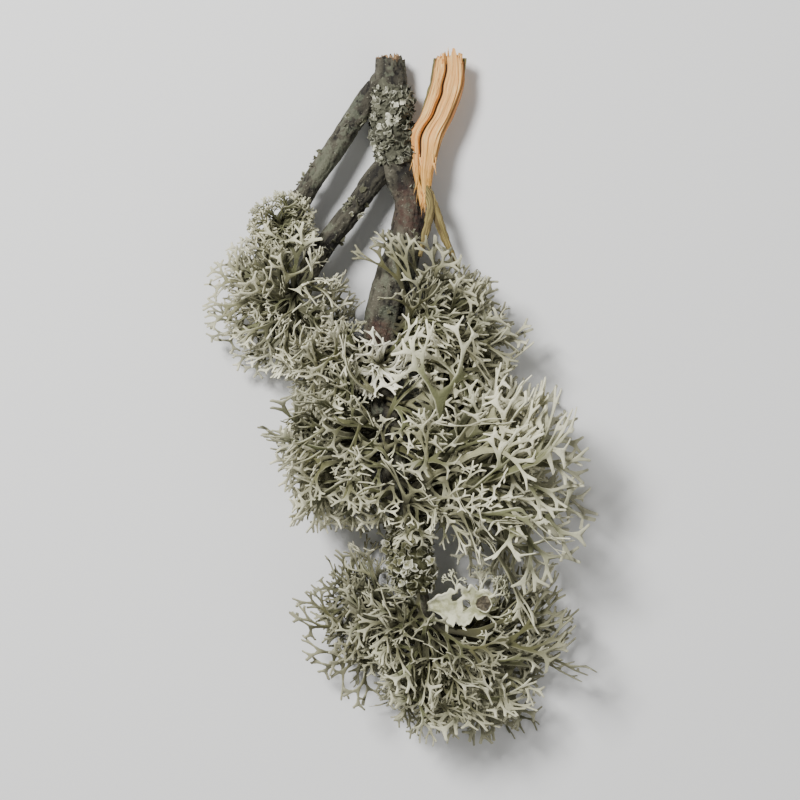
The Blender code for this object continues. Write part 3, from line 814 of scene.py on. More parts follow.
def flat_lobe(kind, length, look, extra=0.0, rounded=False):
    """A forked lobe that lies nearly flat along +X, as a mesh. A long fine one is rounded."""
    girth = (length / LOBE_REFERENCE) ** 0.5 * MM
    bpy.ops.object.select_all(action="DESELECT")
    bpy.ops.mesh.primitive_cube_add(size=1.0)
    thing = bpy.context.object
    for name in ("lift", "along", "margin", "under", "crease_vert"):
        thing.data.attributes.new(name, "FLOAT", "POINT")
    bpy.ops.object.mode_set(mode="EDIT")
    bpy.ops.mesh.select_mode(type="FACE")
    bm = bmesh.from_edit_mesh(thing.data)
    for vert in bm.verts:
        vert.co.x = 0.0 if vert.co.x < 0 else LOBE_START * length * MM
        vert.co.y *= LOBE_FOOT_WIDTH * girth + extra
        vert.co.z *= LOBE_DEPTH * girth + extra
    place = max((face.calc_center_median() for face in bm.faces), key=lambda place: place.x)
    grow(bm, place, 0.0, 0, "fan %d " % kind, length * MM, girth, extra, look)
    bpy.ops.mesh.select_all(action="SELECT")
    bpy.ops.mesh.remove_doubles(threshold=WELD)
    bpy.ops.object.mode_set(mode="OBJECT")
    if rounded or (look is not PLAIN and length > ROUNDED_FROM):
        apply_modifier("SUBSURF")
    mesh = thing.data
    bpy.data.objects.remove(thing)
    return mesh


print("one fine lobe", triangles(flat_lobe(0, LOBE_REFERENCE, FINE)), "triangles")

# %% [markdown]
# ## Bending a lobe into its place
#
# A flat lobe becomes a living one when it rises from its foot and droops to its tips, twists
# along its length and curls sideways. Where it would pass through the surface below it is
# pressed flat on it, and so is a tip that would stand too high. All of that is worked out for
# the strap's middle layer. A point that lies over the middle layer is then moved out along its
# normal, so the strap keeps its thickness through the bends.

# %% From flat to bent
FLOOR, FLOOR_EASE = 0.45, 2.0
CEILING, CEILING_EASE = 31.0, 3.0


def soft_limit(value, limit, reach, sign):
    """Eases heights towards a limit that they never pass."""
    spare = (value - limit) * sign
    eased = limit + sign * reach * np.exp(np.minimum(spare / reach - 1.0, 0.0))
    return np.where(spare > reach, value, eased)


def middle_surface(x, y, lift, lobe):
    """Where points of a flat lobe lie once it is bent, twisted and set in its place."""
    foot, heading, curl, rise, droop, twist, scale, length, floor_height = lobe
    bend = (droop - rise) / length
    angle = rise + bend * x
    turn = twist * x / length
    across = np.cos(turn) * y - np.sin(turn) * lift
    over = np.sin(turn) * y + np.cos(turn) * lift
    out = (np.sin(angle) - math.sin(rise)) / bend - np.sin(angle) * over
    up = (math.cos(rise) - np.cos(angle)) / bend + np.cos(angle) * over + foot.z
    up = soft_limit(up, floor_height, FLOOR_EASE * MM, 1.0)
    up = soft_limit(up, CEILING * MM, CEILING_EASE * MM, -1.0)
    cos, sin = np.cos(heading + curl * x / length), np.sin(heading + curl * x / length)
    return np.stack([foot.x + out * cos - across * sin, foot.y + out * sin + across * cos, up], 1)


def read(mesh, name):
    """The values that a mesh stores under a name."""
    data = mesh.attributes[name].data
    values = np.empty(len(data), np.float32)
    data.foreach_get("value", values)
    return values.astype(float)


def bent(mesh, lobe):
    """A copy of a flat lobe, bent into its place, its thickness kept along the way."""
    x, y, z = points_of(mesh).T * lobe[6]
    lift = read(mesh, "lift") * lobe[6]
    step = 0.01 * MM
    centre = middle_surface(x, y, lift, lobe)
    normal = np.cross(middle_surface(x + step, y, lift, lobe) - centre,
                      middle_surface(x, y + step, lift, lobe) - centre)
    normal /= np.linalg.norm(normal, axis=1)[:, None]
    copy = mesh.copy()
    copy.vertices.foreach_set("co", (centre + normal * (z - lift)[:, None]).ravel())
    copy.update()
    return copy


# %% [markdown]
# ## Where the lobes go
#
# A tuft's lobes spring from one knob on the bark and spread over a range of headings and rises.
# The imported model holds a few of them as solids. They are found again here by the same search:
# each lobe tries random places until a slightly fattened copy of it keeps clear of the stems,
# the torn wood, the crusts and the tufts that are there already.

# %% The tufts and what they keep clear of
# Name, stem, y of the knob, angle around the stem, headings and rises in degrees, a lobe's
# length in mm and the number of solid lobes.
TUFTS = [
    ("outer_tuft", "outer_stem", 41.0, 90, (-10, 330), (20, 60), 11.0, 8),
    ("white_tuft", "main_stem", 3.6, 95, (-20, 320), (25, 55), 10.5, 7),
    ("right_fan", "main_stem", -32.5, 25, (-12, 52), (-5, 38), 49.0, 9),
    ("upper_right_tuft", "main_stem", 10.5, 20, (-20, 66), (-15, 42), 33.0, 8),
    ("inner_tuft", "inner_stem", 22.0, 100, (95, 335), (5, 45), 23.0, 8),
    ("left_tuft", "main_stem", 7.0, 165, (150, 250), (-20, 42), 25.0, 8),
    ("lower_left_tuft", "main_stem", -15.5, 160, (158, 255), (-25, 40), 31.0, 9),
    ("middle_right_tuft", "main_stem", -10.0, 0, (-68, 12), (-25, 40), 33.0, 7),
    ("lower_right_tuft", "main_stem", -67.5, -10, (-70, 0), (-25, 35), 40.0, 8),
    ("bottom_left_tuft", "main_stem", -61.5, 170, (172, 252), (-25, 40), 28.0, 8),
    ("end_tuft", "main_stem", -74.5, 60, (-130, -35), (-25, 40), 21.0, 6),
]
CRUST_SPANS = [(79.0, 58.0), (-38.0, -56.5)]
CUP_PLACE = (-61.5, 15)
CUP_HEADING = 4.0
CUP_REACH = 17.0
# Share of the reach, width and height in mm, along the lobe with the cup.
CUP_LOBE = [(0.0, 3.0, 0.3), (0.3, 5.5, 1.2), (0.6, 8.5, 1.2), (0.85, 8.0, 0.4), (1.05, 4.5, -0.6)]


def along_route(route, height):
    """The point and radius of a route at a given y, in mm, and the way that the route runs."""
    for above, below in zip(route, route[1:]):
        if below[1] <= height <= above[1]:
            share = (above[1] - height) / (above[1] - below[1])
            point = tuple(a + (b - a) * share for a, b in zip(above, below))
            return point, Vector((below[0] - above[0], below[1] - above[1], 0.0)).normalized()


def route_between(route, start, end):
    """The stretch of a route between two values of y."""
    inner = [point for point in route if end < point[1] < start]
    return [along_route(route, start)[0], *inner, along_route(route, end)[0]]


def on_bark(route, height, around):
    """The point on a stem's bark, in mm, at a given y and angle around it, and the way out."""
    (x, y, z, radius), along = along_route(route, height)
    side = Vector((-along.y, along.x, 0.0))
    turn = math.radians(around)
    out = side * math.cos(turn) + UP * math.sin(turn)
    return Vector((x, y, z)) + out * radius, out


cup_foot = on_bark(MAIN_STEM, *CUP_PLACE)[0]
cup_turn = math.radians(CUP_HEADING)
cup_away = Vector((math.cos(cup_turn), math.sin(cup_turn), 0.0))
print("the lobe with the cup springs at", [round(value, 1) for value in cup_foot])


# %% Testing what a lobe crosses
def crosses(tree, others):
    """Whether a mesh's faces cross those of any of the others."""
    return any(tree.overlap(other) for other in others)


def tree_of(mesh, flat=None, past=0.0):
    """A mesh's faces, for finding what crosses them: those past a place along the flat lobe."""
    faces = [tuple(face.vertices) for face in mesh.polygons]
    if flat:
        beyond = points_of(flat)[:, 0] > past - WELD
        faces = [face for face in faces if all(beyond[index] for index in face)]
    return BVHTree.FromPolygons([vert.co for vert in mesh.vertices], faces)


def kept_clear():
    """Fat tubes around the stems, the crusts, the torn wood and the cup."""
    routes = [(route, 0.3) for route in ROUTES.values()]
    routes += [(route_between(MAIN_STEM, start, end), 4.0) for start, end in CRUST_SPANS]
    torn = [(x, y, z, width / 2) for x, y, z, width, thickness in TORN_STRIP]
    routes += [(route, 0.6) for route in (torn, *SPLINTERS)]
    cup = [(*(cup_foot + cup_away * share * CUP_REACH), width / 2) for share, width, _ in CUP_LOBE]
    routes.append((cup, 0.9))
    trees = []
    for route, extra in routes:
        thing = tube(route, extra)
        trees.append(tree_of(thing.data))
        bpy.data.objects.remove(thing)
    return trees


# %% Finding the solid lobes again
KINDS = 6
TRIES = 60
LOOSE_TRIES = 18
LOBE_CLEARANCE = 0.7
KNOB_HEIGHT = 0.6


def bends(rng, curl, rises, droops, twist, scales):
    """A lobe's curl, rise, droop, twist and scale, drawn from these ranges."""
    curl = math.radians(rng.uniform(-curl, curl))
    rise = math.radians(rng.uniform(*rises))
    droop = rise - math.radians(rng.uniform(*droops))
    twist = math.radians(rng.uniform(-twist, twist))
    return curl, rise, droop, twist, rng.uniform(*scales)


def lobe_choice(rng, tuft, foot, index):
    """One lobe's foot, heading, curl, rise, droop, twist, scale, length and lowest height."""
    headings, rises, length, count = tuft[4:]
    share = (index + rng.uniform(0.1, 0.9)) / count
    heading = math.radians(headings[0] + (headings[1] - headings[0]) * share)
    curl, rise, droop, twist, scale = bends(rng, 32, rises, (15, 70), 70, (0.8, 1.05))
    lowest = (FLOOR + rng.uniform(0.0, 2.0)) * MM
    return foot, heading, curl, rise, droop, twist, scale, length * MM * scale, lowest


def solid_lobes(tuft, foot, taken):
    """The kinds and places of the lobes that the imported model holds."""
    rng = random.Random(tuft[0])
    length, count = tuft[-2:]
    flats = [flat_lobe(kind, length, PLAIN, LOBE_CLEARANCE * MM) for kind in range(KINDS)]
    found, whole, forks = [], [], []
    for index in range(count):
        for attempt in range(TRIES):
            lobe = lobe_choice(rng, tuft, foot, index)
            kind = rng.randrange(KINDS)
            wide = bent(flats[kind], lobe)
            outer = tree_of(wide, flats[kind], LOBE_START * length * MM)
            if crosses(outer, taken):
                continue
            forked = tree_of(wide, flats[kind], PLAIN["shares"][0] * length * MM)
            strict = attempt < TRIES - LOOSE_TRIES
            if strict and crosses(forked, forks):
                continue
            found.append((kind, lobe))
            whole.append(outer)
            forks.append(forked)
            break
    taken.extend(whole)
    return found


def knob(foot, radius, subdivisions=1):
    """The knob that a tuft's lobes grow from, half sunk in the bark."""
    bpy.ops.object.select_all(action="DESELECT")
    bpy.ops.mesh.primitive_ico_sphere_add(subdivisions=subdivisions, radius=1.0)
    thing = bpy.context.object
    for vert in thing.data.vertices:
        vert.co = vert.co * radius + foot
    return thing


taken = kept_clear()
stems_only = list(taken)
solids, feet = {}, {}
for tuft in TUFTS:
    point, out = on_bark(ROUTES[tuft[1]], tuft[2], tuft[3])
    feet[tuft[0]] = metres(point + out * KNOB_HEIGHT)
    solids[tuft[0]] = solid_lobes(tuft, feet[tuft[0]], taken)
    plain_knob = knob(feet[tuft[0]], (1.2 + 0.05 * tuft[-2]) * MM)
    taken.append(tree_of(plain_knob.data))
    bpy.data.objects.remove(plain_knob)
print({name: len(found) for name, found in solids.items()})

# %% [markdown]
# ## Filling the tufts
#
# A real tuft has far more lobes than the solids show. The solid ones come first, in their fine
# form. Then more are added around them, some as long, many shorter and steeper, with their feet
# spread over the bark nearby. Short lobes with feet of their own stand over the place where the
# long ones meet and close the middle of the tuft. All may cross one another, as dry lobes do,
# but they keep out of the stems and of the wood.
#
# Three places stay open, because the photograph shows what lies there: the broad lobe with the
# cup, the white tuft, and the bare stretch of the main stem above it.

# %% Choosing further lobes
# How many long and how many short lobes are added to a tuft at most, and how pale it is.
# The bottom-left and lower-right tufts are given a low paleness, partly as painted shade.
FILLING = {"outer_tuft": (28, 0, 0.5), "white_tuft": (8, 0, 1.5), "right_fan": (31, 13, 0.75),
           "upper_right_tuft": (27, 10, 0.2), "inner_tuft": (27, 19, 0.8),
           "left_tuft": (23, 10, 0.85), "lower_left_tuft": (26, 12, 0.55),
           "middle_right_tuft": (22, 12, 0.35), "lower_right_tuft": (28, 11, 0.3),
           "bottom_left_tuft": (24, 11, 0.0), "end_tuft": (21, 9, 0.35)}
FOOT_SPREAD = 3.6
CROWN_LENGTH = 19.0
CROWN_SPREAD = 6.5


def extra_choice(rng, tuft):
    """A further lobe, somewhere in or near the tuft's range of headings, often short and steep."""
    name, stem, height, around, headings, rises, length, count = tuft
    spread = FOOT_SPREAD * min(1.0, length / LOBE_REFERENCE)
    height = max(height + rng.uniform(-spread, spread), ROUTES[stem][-1][1] + 0.3)
    point, out = on_bark(ROUTES[stem], height, around + rng.uniform(-25, 25))
    foot = metres(point + out * rng.uniform(-0.4, KNOB_HEIGHT))
    size = rng.choice((1.0, 0.85, 0.7, 0.55))
    heading = math.radians(rng.uniform(headings[0] - 12, headings[1] + 12))
    steep = (rises[0], rises[1] + 45 * (1.1 - size))
    curl, rise, droop, twist, scale = bends(rng, 40, steep, (25, 80), 90, (0.85, 1.0))
    scale *= size
    lowest = (FLOOR + rng.uniform(0.0, 6.0)) * MM
    return foot, heading, curl, rise, droop, twist, scale, length * MM * scale, lowest


def crown_choice(rng, tuft):
    """A short steep lobe with its own foot on the bark, so that the tuft's foot is hidden."""
    route = ROUTES[tuft[1]]
    spread = CROWN_SPREAD if tuft[1] == "main_stem" else 0.4 * CROWN_SPREAD
    height = tuft[2] + rng.uniform(-spread, spread)
    height = min(max(height, route[-1][1] + 0.3), route[0][1] - 0.3)
    around = tuft[3] + (90 - tuft[3]) * rng.uniform(0.0, 1.3)
    point, out = on_bark(route, height, around)
    foot = metres(point - out * 0.5)
    heading = math.radians(rng.uniform(0, 360))
    curl, rise, droop, twist, scale = bends(rng, 50, (35, 80), (35, 110), 120, (0.65, 1.15))
    return foot, heading, curl, rise, droop, twist, scale, CROWN_LENGTH * MM * scale, FLOOR * MM


# %% What stays open, and how deep a point lies
OPEN_PLACES = [("cup_lobe", metres(cup_foot + Vector((10.5, 0.0, 0.0))), 7.5),
               ("white_tuft", feet["white_tuft"], 5.0)]
OPEN_PLACES += [("bark", metres(on_bark(MAIN_STEM, height, 110)[0]), 4.5)
                for height in range(11, 43, 4)]
TRIAL_SPARE = 0.8 * MM
DEPTH_CELL = 1.2 * MM
print(len(OPEN_PLACES), "places stay open")


def inside(points, name):
    """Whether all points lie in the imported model's box and hide nothing that shows from above."""
    for owner, place, reach in OPEN_PLACES:
        near = np.hypot(points[:, 0] - place.x, points[:, 1] - place.y) < reach * MM
        if owner != name and (near & (points[:, 2] > place.z)).any():
            return False
    low, high = np.array(cad_low) - TRIAL_SPARE, np.array(cad_high) + TRIAL_SPARE
    return (points > low).all() and (points < high).all()


def depth_below(points):
    """How far each point lies below the highest ones around it, seen from above, in mm."""
    cells = np.floor((points[:, :2] - points[:, :2].min(0)) / DEPTH_CELL).astype(int) + 1
    top = np.zeros(cells.max(0) + 2)
    np.maximum.at(top, tuple(cells.T), points[:, 2])
    shifts = [(x, y) for x in (-1, 0, 1) for y in (-1, 0, 1)]
    crown = np.max([np.roll(top, shift, (0, 1)) for shift in shifts], axis=0)
    return (crown[tuple(cells.T)] - points[:, 2]) / MM


# %% Building the tufts
FILL_TRIES = 30
BOX_SPARE = 0.9 * MM
LOBE_FLOOR = 0.05 * MM
UPTURNED = 0.35
SHORT_FINES = [flat_lobe(kind, CROWN_LENGTH, SHORT) for kind in range(KINDS)]
SHORT_PLAINS = [flat_lobe(kind, CROWN_LENGTH, PLAIN) for kind in range(KINDS)]


def full_tuft(tuft):
    """All lobes of one tuft and its knob, joined."""
    name, length = tuft[0], tuft[-2]
    rng = random.Random(name + " more")
    foot = feet[name]
    look = ANTLER if name == "white_tuft" else FINE
    fines = [flat_lobe(kind, length, look, rounded=look is ANTLER) for kind in range(KINDS)]
    plains = [flat_lobe(kind, length, PLAIN) for kind in range(KINDS)]
    chosen = [(fines[kind], lobe) for kind, lobe in solids[name]]
    more, crowns, pale = FILLING[name]
    groups = [(extra_choice, fines, plains, length)] * more
    groups += [(crown_choice, SHORT_FINES, SHORT_PLAINS, CROWN_LENGTH)] * crowns
    for choice, shown, tried, reach in groups:
        for attempt in range(FILL_TRIES):
            lobe = choice(rng, tuft)
            kind = rng.randrange(KINDS)
            trial = bent(tried[kind], lobe)
            outer = tree_of(trial, tried[kind], LOBE_START * reach * MM)
            if inside(points_of(trial), name) and not crosses(outer, stems_only):
                chosen.append((shown[kind], lobe))
                break
    low, high = np.array(cad_low) - BOX_SPARE, np.array(cad_high) + BOX_SPARE
    low[2] = LOBE_FLOOR
    things = []
    for flat, lobe in chosen:
        mesh = bent(flat, lobe)
        mesh.vertices.foreach_set("co", np.clip(points_of(mesh), low, high).ravel())
        store(mesh, "pale", max(0.0, pale + rng.uniform(-0.4, 0.4)))
        store(mesh, "tint", rng.random())
        if rng.random() < UPTURNED:
            store(mesh, "under", 1.0 - read(mesh, "under"))
        things.append(show("lobe", mesh))
    body = knob(foot, (0.8 + 0.02 * length) * MM, 3)
    for vert in body.data.vertices:
        vert.co += (vert.co - foot) * 0.5 * noise.noise(vert.co / MM * 0.9)
    join([body, *things])
    # How far each point lies below the lobes above it, kept for a painted shade in the finish.
    store(body.data, "deep", depth_below(points_of(body.data)))
    return body


tufts = {tuft[0]: full_tuft(tuft) for tuft in TUFTS}
print(sum(triangles(thing.data) for thing in tufts.values()), "triangles in all tufts")

# %% [markdown]
# A lobe is brown-grey at its foot, grey-green along its straps and ivory at its tips, and its
# margins are powdery and paler than its middle. The brown-grey of the foot is partly older growth
# and partly painted shade where the lobes crowd at the knob. A lobe's underside is paler than its
# top. What lies low in a tuft, under the lobes above it, is darker: this is painted shade, and
# partly the older, darker growth inside a tuft. How pale a tuft is differs over the twig; the
# bottom-left and lower-right tufts are kept darker, partly as painted shade. The mesh stores how
# far along the lobe a point is, how near the margin, on which side, how far below the lobes above
# it, and each lobe's own tint.

# %% Lichen finish
lichen = Finish("lichen", 0.9)
along = lichen.stored("along")
margin = lichen.stored("margin").math("ABSOLUTE")
# Paleness, lowered for the bottom-left and lower-right tufts partly as painted shade.
pale = lichen.stored("pale")
tint = lichen.stored("tint")
mottle = lichen.noise(260.0, 4.0)
grain = lichen.noise(1600.0, 3.0, 2.0)
under = lichen.stored("under")
# Painted shade: points that lie low under the lobes above them are darkened, partly also for the
# older, darker growth inside a tuft; tips stay lighter.
deep = lichen.rise(lichen.stored("deep") + mottle * 2.0, 1.5, 9.0)
deep = deep * (1.0 - lichen.rise(along, 0.5, 1.0) * 0.5)
body_colour = lichen.mix(tint, paint(68, 72, 40), paint(88, 84, 50))
body_colour = lichen.mix(pale * 0.9, body_colour, paint(116, 118, 82))
belly = lichen.mix(pale, paint(110, 108, 78), paint(166, 163, 128))
body_colour = lichen.mix(under * 0.75, body_colour, belly)
# The dark brown-grey towards a lobe's foot is partly older growth and partly painted shade where
# the lobes crowd at the knob.
shade = lichen.mix(lichen.rise(along + mottle * 0.3, 0.15, 0.55), paint(60, 56, 36), body_colour)
tips = lichen.rise(along + mottle * 0.2, 0.78, 1.16) * (pale * 0.7 + 0.25)
shade = lichen.mix(tips, shade, paint(238, 234, 204))
powder = lichen.rise(margin, 0.6, 1.0) * (pale * 0.35 + 0.15)
shade = lichen.mix(powder, shade, paint(226, 224, 190))
white = lichen.rise(pale, 1.0, 1.5) * lichen.rise(along, 0.1, 0.5)
shade = lichen.mix(white * 0.95, shade, paint(250, 246, 224))
shade = lichen.mix(lichen.rise(grain, 0.55, 0.75) * 0.3, shade, paint(86, 84, 60))
# The painted shade's dark colour.
shade = lichen.mix(deep * 0.75, shade, paint(54, 52, 36))
lichen.colour(shade)
lichen.relief(grain + mottle, 0.0003)
for name, thing in tufts.items():
    finish_piece(thing, name + "_lobes", lichen, "lichen", name)

# %% [markdown]
# ## Leafy crusts
#
# Two stretches of the main stem are covered by leafy lichen: beside the torn wood small
# crinkled grey-green leaves, and further down rounder, knobbly ones with pale rims. A leaf is
# modelled once in a few shapes: a disc is given thickness, inset twice and dished, and its
# outline is scalloped. Hundreds of copies overlap like shingles, each with its own size and
# lean, over a rough skin that hides the bark between them. The skin lies in heaps and thins out
# to both ends.


# %% One small leaf
LEAF_KINDS = 6
LEAF_FLOOR = 0.03


def leaf(kind):
    """A dished, scalloped leaf of radius 1 that faces up, with its rim stored."""
    rng = random.Random("leaf %d" % kind)
    bpy.ops.object.select_all(action="DESELECT")
    bpy.ops.mesh.primitive_circle_add(vertices=12, radius=0.45, fill_type="NGON")
    thing = bpy.context.object
    bpy.ops.object.mode_set(mode="EDIT")
    bpy.ops.mesh.extrude_region_move(TRANSFORM_OT_translate={"value": (0.0, 0.0, 0.25)})
    bpy.ops.transform.resize(value=(2.2, 2.2, 1.0))
    for thickness, rise in ((0.12, 0.05), (0.4, -0.18)):
        bpy.ops.mesh.inset(thickness=thickness)
        bpy.ops.transform.translate(value=(0.0, 0.0, rise))
    bpy.ops.mesh.select_all(action="SELECT")
    bpy.ops.mesh.normals_make_consistent(inside=False)
    bpy.ops.object.mode_set(mode="OBJECT")
    waves = [rng.uniform(0.0, 6.3) for wave in range(4)]
    rims = []
    for vert in thing.data.vertices:
        x, y, z = vert.co
        far = math.hypot(x, y)
        angle = math.atan2(y, x)
        rims.append(min(1.0, far / 0.95) ** 3)
        scallop = 1 + far * (0.2 * math.cos(3 * angle + waves[0])
                             + 0.18 * math.cos(5 * angle + waves[1]))
        ruffle = far ** 2 * (0.24 * math.sin(2 * angle + waves[2])
                             + 0.16 * math.sin(5 * angle + waves[3]))
        vert.co = (x * scallop, y * scallop, z + ruffle)
    store(thing.data, "rim", rims)
    mesh = thing.data
    bpy.data.objects.remove(thing)
    return mesh


LEAVES = [leaf(kind) for kind in range(LEAF_KINDS)]
print("a leaf has", triangles(LEAVES[0]), "triangles")


def leaf_on(rng, route, height, around, size, lean, tone):
    """A copy of a leaf that grows on a stem at a given y and angle around it."""
    foot, out = on_bark(route, height, around)
    mesh = rng.choice(LEAVES).copy()
    tip = (out + Vector([rng.uniform(-lean, lean) for axis in range(3)])).normalized()
    turn = UP.rotation_difference(tip)
    spin = rng.uniform(0.0, 6.3)
    cos, sin = math.cos(spin), math.sin(spin)
    for vert in mesh.vertices:
        x, y, z = vert.co
        vert.co = turn @ (Vector((x * cos - y * sin, x * sin + y * cos, z)) * size * MM)
        vert.co += metres(foot + out * rng.uniform(0.0, 0.02))
        vert.co.z = max(vert.co.z, LEAF_FLOOR * MM)
    store(mesh, "tone", tone)
    return show("leaf", mesh)


# %% The two crusts
def heap(point, start, end, thick):
    """How thick a crust is over a point of the bark, in mm: heaps that thin out to both ends."""
    low, high = metres((0.0, end, 0.0)).y, metres((0.0, start, 0.0)).y
    share = min(1.0, max(0.0, (point.y - low) / (high - low)))
    lumps = 0.5 + 0.7 * noise.noise(point / MM * 0.22) + 0.25 * noise.noise(point / MM * 0.6)
    return thick * max(0.1, lumps) * math.sin(math.pi * share) ** 0.4


def crust(name, start, end, count, sizes, lean, thick):
    """A lumpy skin around the main stem with overlapping leaves all over it."""
    rng = random.Random(name)
    skin = tube(smooth(route_between(MAIN_STEM, start, end), 0.7), 0.3, 48)
    outs = [vert.normal.copy() for vert in skin.data.vertices]
    for vert, out in zip(skin.data.vertices, outs):
        vert.co += out * (heap(vert.co, start, end, thick) * 0.66
                          + 0.35 * noise.noise(vert.co / MM * 1.7)) * MM
        vert.co.z = max(vert.co.z, LEAF_FLOOR * MM)
    store(skin.data, "tone", 0.2)
    things = [skin]
    for index in range(count):
        height = start + (end - start) * rng.uniform(0.02, 0.98)
        around = rng.uniform(-75, 255)
        point = metres(on_bark(MAIN_STEM, height, around)[0])
        raised = 0.3 + heap(point, start, end, thick) * rng.uniform(0.75, 1.1)
        lifted = [(x, y, z, radius + raised) for x, y, z, radius in MAIN_STEM]
        things.append(leaf_on(rng, lifted, height, around, rng.uniform(*sizes), lean,
                              rng.random()))
    return join(things)


crusts = {"upper_crust": crust("upper_crust", 79.0, 58.0, 520, (0.5, 1.25), 1.0, 2.2),
          "lower_crust": crust("lower_crust", -36.5, -57.5, 500, (0.5, 1.5), 1.0, 5.0)}
for olive, thing in enumerate(crusts.values()):
    store(thing.data, "olive", olive)
print("crusts of", [triangles(thing.data) for thing in crusts.values()], "triangles")

# %% [markdown]
# The leaves are grey-green and their rims are pale with powder. Here and there a cluster of
# leaves is whitish all over. A tone of its own for each leaf keeps the crust from looking like
# one surface.

# %% Crust finish
scurf = Finish("crust", 0.92)
rim = scurf.stored("rim")
tone = scurf.stored("tone")
mottle = scurf.noise(900.0, 3.0)
shade = scurf.mix(tone, paint(58, 57, 45), paint(112, 112, 92))
green = scurf.mix(tone, paint(56, 56, 32), paint(122, 120, 82))
shade = scurf.mix(scurf.stored("olive"), shade, green)
shade = scurf.mix(scurf.rise(mottle, 0.5, 0.7) * 0.35, shade, paint(138, 138, 114))
powder = scurf.rise(rim, 0.4, 0.85) * scurf.rise(tone, 0.1, 0.8)
patch = scurf.noise(420.0, 2.0, 6.0) + scurf.stored("olive") * 0.4
powder = powder * scurf.rise(patch, 0.42, 0.6)
cluster = scurf.rise(scurf.noise(170.0, 2.0, 9.0), 0.5, 0.6)
shade = scurf.mix(cluster * scurf.rise(tone, 0.35, 0.75) * 0.75, shade, paint(226, 224, 200))
shade = scurf.mix(powder * (cluster * 0.55 + 0.45), shade, paint(242, 240, 220))
scurf.colour(shade)
scurf.relief(mottle, 0.0003)
for name, thing in crusts.items():
    finish_piece(thing, name + "_leaves", scurf, "crust", name)

# %% [markdown]
# ## Small growths on the bark
#
# Single leaves and little groups sit all along the stems, some of them at places that the
# photograph shows: beside the fork of the outer stem, on the inner stem, and at both edges of
# the main stem.

# %% Leaves scattered on the stems
rng = random.Random("growths")
spots = [("outer_stem", 59.4, 150, 5), ("inner_stem", 46.0, 100, 6), ("main_stem", 37.0, 160, 7),
         ("main_stem", 38.5, 60, 5), ("main_stem", 24.0, 120, 4), ("outer_stem", 70.0, 60, 4)]
for name, route in ROUTES.items():
    for index in range(9):
        height = rng.uniform(route[-1][1] + 4, route[0][1] - 8)
        spots.append((name, height, rng.uniform(-30, 210), rng.randint(2, 6)))
growths = []
for name, height, around, count in spots:
    for index in range(count):
        growths.append(leaf_on(rng, ROUTES[name], height + rng.uniform(-1.6, 1.6),
                               around + rng.uniform(-25, 25), rng.uniform(0.35, 1.05), 1.1,
                               rng.uniform(0.1, 0.65)))
growths = join(growths)
store(growths.data, "olive", 0.4)
finish_piece(growths, "bark_growths", scurf, "crust")

# %% [markdown]
# ## The lobe with the cup
#
# One lobe is broad and whitish, and near its end sits a brown cup with a pale rim, the
# lichen's fruiting body. The lobe is a grid with two holes. Its rows are drawn in or out to
# the lobe's width, its margin is ruffled, and Solidify gives it its thickness.

# %% The broad lobe
# The middle and the half axes of each hole, on a grid from -1 to 1 both ways.
CUP_LOBE_HOLES = [(-0.12, 0.5, 0.15, 0.26), (0.22, -0.05, 0.13, 0.3)]
SHEET_THICKNESS = 0.6
foot, turn, away = metres(cup_foot), cup_turn, cup_away
side = Vector((-away.y, away.x, 0.0))


def in_a_hole(face):
    """Whether a face of the flat grid lies in one of the holes."""
    x, y, z = face.calc_center_median()
    return any(math.hypot((x - hole[0]) / hole[2], (y - hole[1]) / hole[3]) < 1.0
               for hole in CUP_LOBE_HOLES)


bpy.ops.object.select_all(action="DESELECT")
bpy.ops.mesh.primitive_grid_add(x_subdivisions=36, y_subdivisions=18, size=2.0)
sheet = bpy.context.object
pick_faces(sheet, in_a_hole)
bpy.ops.mesh.delete(type="FACE")
bpy.ops.object.mode_set(mode="OBJECT")
shares, widths, lifts = np.array(CUP_LOBE).T
pale_rim = []
for vert in sheet.data.vertices:
    share, across = (vert.co.x + 1) / 2 * 1.05, vert.co.y
    width = np.interp(share, shares, widths)
    ruffle = noise.noise(Vector((share * 9.0, across * 0.6, 2.0)))
    notch = noise.noise(Vector((share * 16.0, math.copysign(3.0, across), 4.0)))
    reach = share * CUP_REACH + 2.2 * share * noise.noise(Vector((share, across * 3.5, 9.0)))
    reach -= 1.6 * max(0.0, 1.0 - share / 0.12)
    wide = across * width / 2 * (1.0 + 0.28 * ruffle + 0.5 * across ** 2 * notch)
    flare = 0.85 if across < 0 else 0.3
    wide *= min(1.0, 0.6 + share / 0.3) * (1.0 + flare * math.exp(-((share - 0.36) / 0.2) ** 2))
    wave = 1.1 * across ** 2 * ruffle + 0.6 * noise.noise(Vector((share * 5.0, across * 2.0, 5.0)))
    lift = np.interp(share, shares, lifts) + wave + 0.7 * across ** 2
    vert.co = foot + (away * reach + side * wide + Vector((0.0, 0.0, lift))) * MM
    pale_rim.append(abs(across) ** 3)
store(sheet.data, "rim", pale_rim)
apply_modifier("SOLIDIFY", thickness=SHEET_THICKNESS * MM)
apply_modifier("SUBSURF")
print("sheet", triangles(sheet.data), "triangles")

# %% [markdown]
# The cup is a cone that stands on its narrow end. Its top is inset four times and sunk, which
# leaves a rim around a shallow disc. Noise around its axis keeps it from being round.

